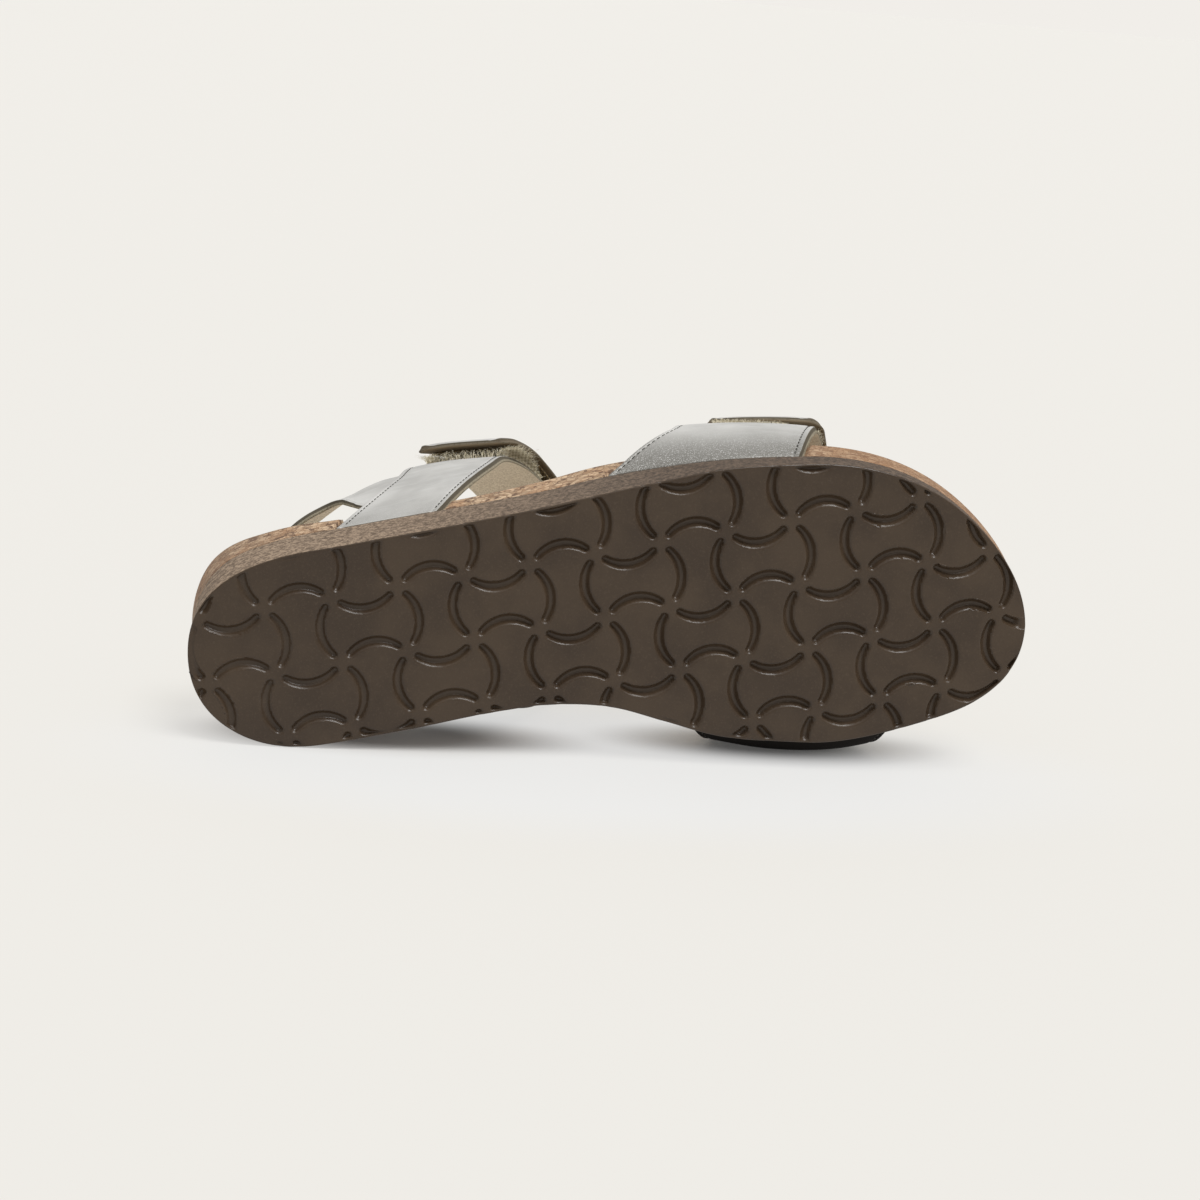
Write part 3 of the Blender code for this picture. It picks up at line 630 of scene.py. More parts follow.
# %% Section of a strip of leather
EDGE_ROUND, EDGE_BEVEL, INNER_INSET, FACE_INSET = 0.55, 1.0, 1.4, 5.0
STITCH_INSET, STITCH_DIP, STITCH_SOFT = 2.9, 0.3, 0.45
SIDE_SINK, SIDE_SINK_REACH = 0.12, 0.8
STITCH_BAND = (1.7, 2.0, 2.3, 2.5, 2.7, 2.9, 3.1, 3.3, 3.5, 3.9, 4.4)
Section = namedtuple("Section", "share inset height layer edge columns")


def strip_section(thickness, columns, edge_round=EDGE_ROUND, bevel=EDGE_BEVEL, stitched=True):
    """Rounded trapezium: share across and inset from the edges in millimetres, height, and layer colours.

    The inner face comes first, rear to front, then the front edge, the outer face back and the rear edge.
    The edges slope, so that the outer face is narrower by the bevel on each side.
    """
    turn = np.radians([90.0, 60.0, 30.0, 0.0])
    low_in, low_up = edge_round * (1 - np.cos(turn))[:-1], edge_round * (1 - np.sin(turn))[:-1]
    middle = np.linspace(edge_round, thickness - edge_round, 4)
    edge_in = np.concatenate([low_in, np.linspace(0, bevel, 4), bevel + low_in[::-1]])
    edge_up = np.concatenate([low_up, middle, thickness - low_up[::-1]])
    band = np.array(STITCH_BAND)
    outer_share = np.concatenate([np.ones(len(band)), np.linspace(1, 0, columns), np.zeros(len(band))])
    outer_in = np.concatenate([band, np.full(columns, FACE_INSET), band[::-1]])
    dip = STITCH_DIP * np.exp(-(((outer_in - STITCH_INSET) / STITCH_SOFT) ** 2)) * stitched
    outer_up = thickness - dip - SIDE_SINK * np.exp(-outer_in / SIDE_SINK_REACH)
    parts = (
        (np.linspace(0, 1, columns), INNER_INSET * edge_round, 0.0, 0.0, 0.0),
        (1.0, edge_in, edge_up, edge_up / thickness, 1.0),
        (outer_share, outer_in, outer_up, 1.0, 0.0),
        (0.0, edge_in[::-1], edge_up[::-1], edge_up[::-1] / thickness, 1.0),
    )
    joined = zip(*(np.broadcast_arrays(*part) for part in parts))
    return Section(*(np.concatenate(values) for values in joined), columns)


def strip_rings(point, path, run, section, thickness, offset, round_start=0.0, round_end=0.0):
    """The section at each step of the path; free ends have rounded corners and softened edges."""
    length = run[-1]
    corner = np.zeros(len(path))
    squeeze = np.ones(len(path))
    for radius, away in ((round_start, run), (round_end, length - run)):
        if radius:
            near = np.clip(radius - away, 0, radius)
            corner += radius - np.sqrt(np.maximum(radius**2 - near**2, 0))
            soft = np.clip(EDGE_ROUND - away, 0, EDGE_ROUND)
            squeeze -= 2 * (EDGE_ROUND - np.sqrt(EDGE_ROUND**2 - soft**2)) / thickness
    width, path = strap_width(point, path)[:, None], path[:, None]
    across = section.share + (1 - 2 * section.share) * (section.inset + corner[:, None]) / width
    height = thickness / 2 + (section.height - thickness / 2) * squeeze[:, None] + offset[:, None]
    return point(path, across) + away_from_foot(point, path + 0 * across, across) * height[..., None]


def strip_piece(name, rings, section, nodes, slot, **attributes):
    """Piece of a strip's rings; quads across each end join the inner face to the outer one."""
    rows, total, columns = len(rings), len(section.share), section.columns
    inner = np.arange(columns)
    edge = (total - 2 * columns - 2 * len(STITCH_BAND)) // 2
    first_outer = columns + edge + len(STITCH_BAND)
    outer = first_outer + columns - 1 - np.arange(columns)
    strip = np.stack([inner[:-1], inner[1:], outer[1:], outer[:-1]], -1)
    front = np.arange(columns - 1, first_outer + 1)
    rear = np.concatenate([np.arange(first_outer + columns - 1, total), [0]])
    lift = (rows - 1) * total
    quads = np.concatenate([ring_quads(rows, total), strip[:, ::-1], strip + lift])
    spread = {label: np.broadcast_to(values, (rows, total)) for label, values in attributes.items()}
    caps = [front[::-1], rear[::-1], front + lift, rear + lift]
    return add_piece(name, rings, quads, caps, nodes, slot, **spread)


print("a strip's section has", len(strip_section(LEATHER, 30).share), "points")

# %% [markdown]
# ## Flaps and closures
# Each strap is two pieces: one from the lateral edge of the sole, and one from the medial edge that laps over
# it as a flap and is held by hook and loop tape. The flap stands off by the leather below it and the two
# tapes, and its free end lifts a little, more on the instep than over the toes.

# %% Leather pieces of the front and instep straps
TAPE = 0.9
STRIP_STEP, STRIP_COLUMNS = 0.9, 30
# The first is how far up the painted shade towards the sole reaches; the last two place where the painted
# near-black shade of a medial leg begins and how soon it is full.
FOOT_HEIGHT, DARK_TO, LEG_SHADE_FROM, LEG_SHADE_EASE = 24.0, 0.48, 0.80, 0.03
# The last of these is the share of the painted shade towards the sole on the instep pieces.
LATERAL_CORNER, FRONT_CORNER, INSTEP_CORNER, INSTEP_FOOT_SHADE = 4.0, 4.0, 5.0, 0.4
FLAP_SKEW = 0.0255
FREE_END_STEPS = (0.0, 0.08, 0.2, 0.35, 0.55, 0.9, 1.4, 2.0, 2.8, 3.7)
Closure = namedtuple("Closure", "flap_end flap_full flap_start lateral_end lift belly tape_from tape_to")
FRONT_CLOSURE = Closure(0.314, 0.50, 0.64, 0.49, 0.3, 0.0, 0.33, 0.46)
INSTEP_CLOSURE = Closure(0.325, 0.50, 0.62, 0.49, 2.0, 1.8, 0.345, 0.46)


def flap_offset(closure, path):
    """The stack of leather and tapes, eased away past the crest, plus the lift of the free end and a belly,
    which is a squared sine between the crest and that end."""
    stack = LEATHER + 2 * TAPE + 3 * GAP
    off = stack * (1 - ease((path - closure.flap_full) / (closure.flap_start - closure.flap_full)))
    share = np.clip((path - closure.flap_end) / (closure.flap_full - closure.flap_end), 0, 1)
    return off + closure.lift * (1 - ease(share)) + closure.belly * np.sin(math.pi * share) ** 2


def free_end_steps(path, run, at_start):
    """Extra steps close to a free end, so that its rounded corners and edge get enough rings."""
    extra = np.array(FREE_END_STEPS)
    extra = extra if at_start else run[-1] - extra
    steps = np.unique(np.concatenate([run, extra]).round(4))
    return np.interp(steps, run, path), steps


def leather_piece(name, nodes, point, start, end, offset, round_start=0.0, round_end=0.0, foot_shade=1.0):
    """A strip of leather between two places of a path. Dark marks the inner face of a flap's tape end, foot the
    part close to the sole, which gets painted shade, and a third mask the leg of a medial piece, which is painted
    near-black as painted shade."""
    path, run = even_path(point, start, end, STRIP_STEP)
    if round_start or round_end:
        path, run = free_end_steps(path, run, bool(round_start))
    section = strip_section(LEATHER, STRIP_COLUMNS)
    rings = strip_rings(point, path, run, section, LEATHER, offset(path), round_start, round_end)
    edge = np.maximum(section.edge, np.isin(np.arange(len(path)), [0, len(path) - 1])[:, None])
    under_flap = (path < DARK_TO)[:, None] & (section.layer < 0.8) & bool(round_start)
    # Painted shade towards the sole: 1 at the sole, eased to 0 at the foot height above it, times the strap's
    # share.
    low = foot_shade * (1 - ease((rings[..., 2] - outsole_top(rings[..., 0])) / FOOT_HEIGHT))
    # Painted shade: from the start of the leg on, the outer layers of a medial piece are marked for near-black.
    bound = ease((path - LEG_SHADE_FROM) / LEG_SHADE_EASE)[:, None] * (section.layer > 0.3)
    return strip_piece(name, rings, section, nodes, "silver_leather", layer=section.layer, cut_edge=edge,
                       dark=under_flap, foot=low, bound=bound)


def strap_pieces(strap, nodes, corner, foot_shade):
    """The lateral piece of a strap and the flap that laps over it."""
    lateral = leather_piece(strap.label + "_lateral_leather", nodes[:1], strap.path, 0.0,
                            strap.closure.lateral_end, np.zeros_like, round_end=LATERAL_CORNER, foot_shade=foot_shade)
    flap = leather_piece(strap.label + "_flap_leather", nodes[-1:], strap.flap_path, strap.closure.flap_end, 1.0,
                         lambda path: flap_offset(strap.closure, path), round_start=corner)
    return [lateral, flap]


Strap = namedtuple("Strap", "label path flap_path tape_path closure")
FRONT = Strap("front", over_foot(FRONT_STRAP), over_foot(FRONT_FLAP, FLAP_SKEW, FRONT_CLOSURE.flap_end),
              over_foot(FRONT_FLAP), FRONT_CLOSURE)
INSTEP = Strap("instep", *[over_foot(INSTEP_STRAP)] * 3, INSTEP_CLOSURE)
straps = strap_pieces(FRONT, ["front_strap_lateral", "front_strap_medial"], FRONT_CORNER, 1.0)
straps += strap_pieces(INSTEP, ["instep_and_heel_strap"], INSTEP_CORNER, INSTEP_FOOT_SHADE)

# %% [markdown]
# ## The heel strap
# It runs from the lateral instep piece round the back of the heel to the medial one. Its plan is an ellipse
# with straight ends, leaning in towards the ankle. The ends are skived thin and sewn between the layers of the
# instep pieces, so they disappear inside them.

# %% Heel strap
HEEL_CENTRE, HEEL_REACH, HEEL_LEVEL, HEEL_LEAN, HEEL_COLUMNS = 52.0, 33.0, 53.0, 0.32, 22
TWIST_START, TWIST_END, HEEL_SIDE, HEEL_BEYOND = 64.0, 36.0, 0.2, 1.1
HEEL_LATERAL_END, HEEL_MEDIAL_END = (69.0, 79.0), (91.0, 94.0)
SKIVED_END, SKIVE_START, SKIVE_LENGTH, MEDIAL_SKIVE = 0.9, 0.14, 0.14, 0.2
HeelEdges = namedtuple("HeelEdges", "along lower upper")
HEEL_STRAP = (
    HeelEdges(0.00, 38.0, 76.0),
    HeelEdges(0.14, 39.0, 77.0),
    HeelEdges(0.20, 46.0, 77.6),
    HeelEdges(0.25, 60.5, 78.4),
    HeelEdges(0.30, 62.2, 79.4),
    HeelEdges(0.50, 64.0, 82.0),
    HeelEdges(1.00, 58.0, 77.0),
)


def heel_lean(u, w):
    """The lean times the height above the heel's level, eased out ahead of the heel."""
    above = np.clip(w - HEEL_LEVEL, 0, None)
    return HEEL_LEAN * above * ease((TWIST_START - u) / (TWIST_START - TWIST_END))


def heel_point(path, across):
    """A fifth of the path on each side lies on the last's sides, the rest is half an ellipse in plan."""
    low, high = column(HEEL_STRAP, "lower", path), column(HEEL_STRAP, "upper", path)
    w = low + (high - low) * across
    turn = np.clip((path - HEEL_SIDE) / (1 - 2 * HEEL_SIDE), 0, 1) * math.pi
    ahead_lateral = np.clip(1 - path / HEEL_SIDE, 0, HEEL_BEYOND)
    ahead_medial = np.clip(path / HEEL_SIDE - 4, 0, HEEL_BEYOND)
    ends = [near + across * (far - near) - HEEL_CENTRE for near, far in (HEEL_LATERAL_END, HEEL_MEDIAL_END)]
    straight = HEEL_CENTRE + ahead_lateral * ends[0] + ahead_medial * ends[1]
    u = straight - (HEEL_REACH - HEEL_LEAN * np.clip(w - HEEL_LEVEL, 0, None)) * np.sin(turn)
    at = np.where((turn > 0) & (turn < math.pi), HEEL_CENTRE, u)
    sides = [last_side(at, w, side) for side in (LATERAL, MEDIAL)]
    middle, half = (sides[1] + sides[0]) / 2, (sides[1] - sides[0]) / 2 - heel_lean(u, w)
    return np.stack([u, middle - half * np.cos(turn), w], -1)


def heel_strap_piece():
    """The leather section round the heel, its thickness eased down to the skive at both ends."""
    path, run = even_path(heel_point, 0.0, 1.0, STRIP_STEP)
    section = strip_section(LEATHER, HEEL_COLUMNS)
    rings = strip_rings(heel_point, path, run, section, LEATHER, 0 * path)
    skive = ease(np.minimum((path - SKIVE_START) / SKIVE_LENGTH, (1 - path) / MEDIAL_SKIVE))
    thin = (SKIVED_END + (LEATHER - SKIVED_END) * skive) / LEATHER
    half = section._replace(height=np.full_like(section.height, LEATHER / 2))
    middle = strip_rings(heel_point, path, run, half, LEATHER, 0 * path)
    rings = middle + (rings - middle) * thin[:, None, None]
    return strip_piece("heel_strap_leather", rings, section, ["instep_and_heel_strap"], "silver_leather",
                       layer=section.layer, cut_edge=section.edge, dark=0.0, foot=0.0, bound=0.0)


heel_strap = heel_strap_piece()

# %% [markdown]
# ## Hook and loop
# The loop half is a woven tape with a pile of fine loops, pale and fuzzy, and the hook half is stiff and dark.
# Both are thin strips between the leathers. A pile of fibres stands on the loop tape: each one is a thin
# three-sided tube that bends over, and all of them are one mesh, worked out as arrays. Most stand near the
# tape's sides, where they show, and on the front strap some stand in front of the flap's free end.

# %% Tapes
TAPE_COLUMNS, TAPE_STEP, TAPE_ROUND = 40, 0.8, 0.2
TAPE_MARGIN, TAPE_LIFT = 0.07, 0.05


def tape_piece(name, node, slot, point, closure, offset):
    """A thin strip over all but a margin of the strap's width, between the two ends of the tape."""
    def held(path, across):
        """The strap's point with the margins left out."""
        return point(path, TAPE_MARGIN + (1 - 2 * TAPE_MARGIN) * across)
    path, run = even_path(held, closure.tape_from, closure.tape_to, TAPE_STEP)
    section = strip_section(TAPE, TAPE_COLUMNS, TAPE_ROUND, 0.0, False)
    rings = strip_rings(held, path, run, section, TAPE, offset(path))
    return strip_piece(name, rings, section, [node], slot)


loop_tapes, hook_tapes = [], []
for strap, node in ((FRONT, "front_strap"), (INSTEP, "instep")):
    loop_tapes.append(tape_piece(
        strap.label + "_loop_tape_weave", node + "_loop_tape", "loop_tape", strap.tape_path, strap.closure,
        lambda path: 0 * path + LEATHER + TAPE_LIFT))
    hook_tapes.append(tape_piece(
        strap.label + "_hook_tape_weave", node + "_hook_tape", "hook_tape", strap.flap_path, strap.closure,
        lambda path, closure=strap.closure: flap_offset(closure, path) - TAPE - TAPE_LIFT))

# %% Pile of loops
PILE_SIDES, PILE_STEPS, PILE_RADIUS, PILE_LEAN = 3, 4, 0.13, 0.55
PILE_START, PILE_STOP, PILE_FRONT, PILE_FOOT = 0.004, 0.05, 0.955, 0.1
PILE_RISE, PILE_SAG, PILE_TAPER, INWARD_FROM, INWARD_LEAN = 1.15, 0.3, 0.5, 0.9, 0.5
AT_SIDES, AT_FRONT_SIDE, SIDE_BAND = 0.7, 0.75, 0.05
SHORT_FROM, SHORT_EASE, SHORT_BY = 0.355, 0.05, 0.75
BARE_PATH, BARE_FROM, BARE_ACROSS, BARE_HEIGHT, BARE_LEAN = 0.008, 0.14, 0.58, 1.75, 0.35


def tubes_piece(name, tubes, slot):
    """One mesh of many small tubes, given as tubes by rings by sides, each closed at both ends."""
    count, rings, sides = tubes.shape[:3]
    starts = rings * sides * np.arange(count)[:, None]
    quads = (ring_quads(rings, sides)[None] + starts[:, None]).reshape(-1, 4)
    cap = np.arange(sides)
    caps = [*(starts + cap[::-1]), *(starts + cap + (rings - 1) * sides)]
    return add_piece(name, tubes, quads, caps, [], slot)


def pile_piece(strap, count, seed, height, rear, bare):
    """Tubes of three sides on random places of the tape: the axis rises on the normal and leans by the
    square of its share, and the radius tapers a little. A share, bare, stands outside the flap's end."""
    rng, point, closure = np.random.default_rng(seed), strap.tape_path, strap.closure
    path = rng.uniform(closure.flap_end - PILE_START, closure.tape_to - PILE_STOP, count)
    at_side = rng.random(count) < AT_SIDES
    front_side = 1 - SIDE_BAND * rng.random(count) ** 1.5
    either_side = np.where(rng.random(count) < AT_FRONT_SIDE, front_side, 1 - front_side)
    across = np.where(at_side, either_side, rng.uniform(SIDE_BAND, 1 - SIDE_BAND, count))
    across = rear + (PILE_FRONT - rear) * across
    outside = rng.random(count) < bare
    path = np.where(outside, closure.flap_end - BARE_PATH * rng.random(count), path)
    across = np.where(outside, BARE_FROM + BARE_ACROSS * rng.random(count) ** 1.3, across)
    foot = point(path, across)
    normal = away_from_foot(point, path, across)
    run = unit(point(path + STEP, across) - point(path - STEP, across))
    side = np.cross(normal, run)
    lean = rng.normal(0, PILE_LEAN, (count, 2))
    lean[:, 1] -= INWARD_LEAN * (across > INWARD_FROM)
    lean = np.where(outside[:, None], np.clip(lean, -BARE_LEAN, BARE_LEAN), lean)
    room = np.minimum(height, flap_offset(closure, path) - LEATHER - GAP)
    room = room * (1 - SHORT_BY * ease((path - SHORT_FROM) / SHORT_EASE))
    tall = room * rng.uniform(0.6, 1.1, count) * np.where(outside, BARE_HEIGHT, 1)
    t = np.linspace(0, 1, PILE_STEPS + 1)[None, :, None]
    sway = (run * lean[:, :1] + side * lean[:, 1:])[:, None, :]
    tall = tall[:, None, None]
    axis = foot[:, None] + normal[:, None] * (LEATHER + PILE_FOOT + tall * t * (PILE_RISE - PILE_SAG * t))
    axis = axis + sway * tall * t**2
    turn = np.arange(PILE_SIDES) * 2 * math.pi / PILE_SIDES
    radius = PILE_RADIUS * rng.uniform(0.7, 1.3, count)[:, None, None, None] * (1 - PILE_TAPER * t[..., None])
    round_it = np.cos(turn)[:, None] * run[:, None, None] + np.sin(turn)[:, None] * side[:, None, None]
    return tubes_piece(strap.label + "_loop_pile", axis[:, :, None] + radius * round_it, "loop_tape")


piles = [
    pile_piece(FRONT, count=2600, seed=11, height=1.5, rear=0.02, bare=0.4),
    pile_piece(INSTEP, count=3000, seed=12, height=3.8, rear=0.14, bare=0.0),
]

# %% [markdown]
# ## Stitching
# A line of stitches runs a little way in from each cut edge. Each stitch is one small bead of thread that
# dips into the leather at both ends. All are copies of the same few faces, placed along the line at equal
# steps, with their length on the line and their height on the leather's normal.

# %% Stitches along the straps
STITCH_PITCH, STITCH_HALF, THREAD, THREAD_FLAT, STITCH_UP = 2.3, 0.9, 0.2, 0.8, 0.1
BEAD_RINGS, BEAD_SIDES = 5, 6
SEAM_START, SEAM_SHORT, FLAP_SEAM_SHORT, SEAM_END, HEEL_SEAM = 0.015, 0.03, 0.02, 0.985, (0.28, 0.8)


def bead():
    """Ellipsoid of a few sides and rings, with its half length along x, flattened a little in z."""
    along = np.linspace(-1, 1, BEAD_RINGS + 2)[1:-1]
    turn = np.arange(BEAD_SIDES) * 2 * math.pi / BEAD_SIDES
    round_it = np.sqrt(1 - along**2)[:, None] * THREAD
    ring = np.stack(np.broadcast_arrays(along[:, None] * STITCH_HALF, round_it * np.cos(turn),
                                        round_it * np.sin(turn) * THREAD_FLAT), -1)
    return ring.reshape(-1, 3)


def stitch_line(point, start, end, at_front, offset):
    """Centres, directions, sides and normals of the stitches of one line, at equal steps along it."""
    def inset(path):
        """The stitches' inset over the strap's width, counted from the edge they follow."""
        share = STITCH_INSET / strap_width(point, path)
        return 1 - share if at_front else share
    fine = np.linspace(start, end, 2500)
    run = run_length(point(fine, inset(fine)))
    path = np.interp(np.arange(STITCH_PITCH / 2, run[-1], STITCH_PITCH), run, fine)
    across = inset(path)
    normal = away_from_foot(point, path, across)
    centre = point(path, across) + normal * (offset(path) + LEATHER - STITCH_DIP + STITCH_UP)[:, None]
    ahead = unit(point(path + STEP, inset(path + STEP)) - point(path - STEP, inset(path - STEP)))
    return centre, ahead, np.cross(normal, ahead), normal


def stitching_piece(lines):
    """One mesh of all stitches: each bead's x, y and z times the direction, side and normal of its place."""
    centre, ahead, side, normal = (np.concatenate(part) for part in zip(*lines))
    points = centre[:, None] + np.einsum("kc,ncd->nkd", bead(), np.stack([ahead, side, normal], 1))
    return tubes_piece("strap_stitching", points.reshape(-1, BEAD_RINGS, BEAD_SIDES, 3), "silver_leather")


seams = []
for strap in (FRONT, INSTEP):
    closure = strap.closure
    for at_front in (False, True):
        seams.append(stitch_line(
            strap.path, SEAM_START, closure.lateral_end - SEAM_SHORT, at_front, np.zeros_like))
        seams.append(stitch_line(
            strap.flap_path, closure.flap_end + FLAP_SEAM_SHORT, SEAM_END, at_front,
            lambda path, closure=closure: flap_offset(closure, path)))
seams += [stitch_line(heel_point, *HEEL_SEAM, at_front, np.zeros_like) for at_front in (False, True)]
stitching = stitching_piece(seams)

# %% [markdown]
# ## Shader maths in Python
# A node tree is an expression in disguise. The class below wraps one output socket, so that + - and * between
# sockets and numbers, in either order, add Math nodes. Everything else comes from one method, which takes a
# node's type, its settings and what its inputs get.

# %% Sockets with arithmetic
class Shade:
    """An output socket in a material; arithmetic on it adds Math nodes."""

    def __init__(self, tree, socket=None):
        self.tree, self.socket = tree, socket

    def node(self, kind, settings=None, inputs=None, output=0):
        """Adds a node: first its settings, then a value or link per input."""
        made = self.tree.nodes.new("ShaderNode" + kind)
        for name, value in (settings or {}).items():
            setattr(made, name, value)
        for name, value in (inputs or {}).items():
            if isinstance(value, Shade):
                self.tree.links.new(value.socket, made.inputs[name])
            else:
                made.inputs[name].default_value = value
        return Shade(self.tree, made.outputs[output])

    def math(self, operation, first, second):
        """One operation on two values."""
        return self.node("Math", {"operation": operation}, {0: first, 1: second})

    def __add__(self, other):
        return self.math("ADD", self, other)

    __radd__ = __add__

    def __sub__(self, other):
        return self.math("SUBTRACT", self, other)

    def __rsub__(self, other):
        return self.math("SUBTRACT", other, self)

    def __mul__(self, other):
        return self.math("MULTIPLY", self, other)

    __rmul__ = __mul__

    def feed(self, shader, name):
        """Links this value to an input of a shader."""
        self.tree.links.new(self.socket, shader.inputs[name])

    def clear(self, low, high):
        """0 below low, 1 above high, smooth between."""
        return self.node("MapRange", {"interpolation_type": "SMOOTHSTEP"},
                         {"Value": self, "From Min": low, "From Max": high})

    def blend(self, first, second):
        """Colour that goes from first to second as this value goes from 0 to 1."""
        return self.node("Mix", {"data_type": "RGBA"}, {0: self, 6: first, 7: second}, 2)

    def noise(self, scale, detail=3.0, rough=0.55):
        """Fractal noise at this place."""
        return self.node("TexNoise", None,
                         {"Vector": self, "Scale": scale, "Detail": detail, "Roughness": rough})

    def cells(self, scale, output="Distance", feature="F1"):
        """Voronoi cells at this place."""
        return self.node("TexVoronoi", {"feature": feature}, {"Vector": self, "Scale": scale}, output)

    def attribute(self, name):
        """A value that the mesh carries at its points."""
        return self.node("Attribute", {"attribute_name": name}, None, "Fac")


def colour(red, green, blue):
    """Linear colour from the 0 to 255 values seen on a screen, by the standard curve of screens."""
    share = np.array([red, green, blue]) / 255
    linear = np.where(share <= 0.04045, share / 12.92, ((share + 0.055) / 1.055) ** 2.4)
    return (*linear.tolist(), 1.0)


def new_finish(name):
    """Empty material: its start point for expressions, its object coordinates and its surface shader."""
    material = bpy.data.materials.new(name)
    material.use_nodes = True
    tree = material.node_tree
    start = Shade(tree)
    place = start.node("TexCoord", output="Object")
    return material, start, place, tree.nodes["Principled BSDF"]


def surface(material, shader, base, rough, bump, depth, strength):
    """Links colour, roughness and relief to the surface shader."""
    relief = bump.node("Bump", None, {"Height": bump, "Distance": depth, "Strength": strength})
    for name, value in (("Base Color", base), ("Roughness", rough), ("Normal", relief)):
        value.feed(shader, name)
    return material


def finish(pieces, material):
    """Gives the pieces the material as their only one."""
    for piece in pieces:
        piece.data.materials.clear()
        piece.data.materials.append(material)
    print(material.name, "on", [piece.name for piece in pieces])


print("a screen's middle grey is", round(colour(128, 128, 128)[0], 3), "in linear light")

# %% [markdown]
# ## Foam rubber
# The tread has the satin skin of the mould, dark brown; the floors of the slots are a little paler, painted light
# against the shade in them. The sides were sanded flush with the cork after glueing, which opens the foam: paler,
# matt, with a fine grain. Towards the toe they are painted darker and towards the heel paler, painted shade and
# light. The attributes choose between the two.

# %% Finish of the outsole
def rubber_finish():
    """Moulded skin and sanded foam, blended by the sanded attribute."""
    material, start, place, shader = new_finish("foam_rubber")
    sand, slot = start.attribute("sanded"), start.attribute("groove")
    cloud, grain = place.noise(60.0, 4.0), place.noise(1500.0, 3.0, 0.7)
    skin = cloud.clear(0.3, 0.7).blend(colour(57, 45, 34), colour(68, 55, 42))
    skin = (grain.clear(0.5, 0.75) * 0.6).blend(skin, colour(78, 65, 52))
    # Painted light: the floors of the slots are paler, against the shade that falls in them.
    skin = (slot.clear(0.4, 0.95) * 0.4).blend(skin, colour(76, 63, 51))
    pores = place.cells(900.0).clear(0.05, 0.45)
    crumb = place.noise(620.0, 4.0, 0.75)
    # Painted shade and light: the sanded sides go darker towards the toe and paler towards the heel.
    toe = start.node("SeparateXYZ", None, {0: place}, "X").clear(-0.10, 0.03)
    deep = toe.blend(colour(94, 79, 65), colour(67, 57, 49))
    foam = crumb.clear(0.36, 0.64).blend(deep, toe.blend(colour(157, 137, 117), colour(102, 87, 74)))
    foam = pores.blend(deep, foam)
    shader.inputs["Specular IOR Level"].default_value = 0.32
    base = sand.blend(skin, foam)
    rough = 0.24 + 0.12 * cloud + sand * (0.52 + 0.1 * grain)
    relief = grain * (0.25 + 0.5 * sand) + (crumb + pores * 0.6) * sand
    return surface(material, shader, base, rough, relief, 0.00022, 0.55)


finish([tread_outsole], rubber_finish())

# %% [markdown]
# ## Cork
# Pressed cork granules of one to two millimetres in many browns, with a few dark flecks of bark and fine
# pores. Voronoi cells are the granules, and two noises vary them. The rim is sealed and a little darker.

# %% Finish of the footbed
def cork_finish():
    """Cells in many browns, with clouds, flecks, dark gaps and a darker rim painted over them in turn."""
    material, start, place, shader = new_finish("cork")
    squashed = place.node("Mapping", None, {"Vector": place, "Scale": (1.0, 1.6, 1.0)})
    tint = squashed.cells(520.0, "Color")
    shade = tint.node("SeparateColor", None, {0: tint})
    granules = shade.blend(colour(138, 110, 83), colour(200, 174, 144))
    cloud = place.noise(90.0, 4.0)
    granules = (cloud.clear(0.45, 0.68) * 0.6).blend(granules, colour(172, 130, 94))
    fleck = squashed.noise(340.0, 3.0, 0.6).clear(0.53, 0.62)
    granules = (fleck * 0.85).blend(granules, colour(82, 58, 42))
    gap = squashed.cells(520.0, "Distance", "DISTANCE_TO_EDGE").clear(0.0, 0.1)
    granules = (gap * 0.6 + 0.4).blend(colour(112, 80, 56), granules)
    along = start.node("SeparateXYZ", None, {0: place}, "X")
    granules = (along.clear(0.0, 0.09) * 0.6).blend(granules, colour(136, 98, 66))
    granules = ((1 - along.clear(-0.125, -0.09)) * 0.45).blend(granules, colour(120, 96, 78))
    rim = start.attribute("rim")
    base = (rim.clear(0.1, 0.9) * 0.7).blend(granules, colour(88, 64, 46))
    rough = 0.62 + 0.2 * cloud
    return surface(material, shader, base, rough, gap + 0.4 * place.noise(1400.0), 0.00025, 0.6)


finish([cork_layer], cork_finish())

# %% [markdown]
# ## Suede
# The cover is brushed hide: matt, with a short nap that lies one way here and another there, so broad soft
# patches of lighter and darker tan, and a fine fibrous grain on top.

# %% Finish of the cover
def suede_finish():
    """Broad patches with a fine nap over them."""
    material, _, place, shader = new_finish("suede")
    patches, nap = place.noise(45.0, 3.0), place.noise(1800.0, 4.0, 0.7)
    base = patches.clear(0.35, 0.65).blend(colour(156, 134, 106), colour(174, 152, 122))
    base = (nap.clear(0.4, 0.7) * 0.5).blend(base, colour(126, 104, 80))
    shader.inputs["Sheen Weight"].default_value = 0.4
    return surface(material, shader, base, 0.9 + 0.08 * nap, nap, 0.0002, 0.6)


finish([suede_footbed], suede_finish())
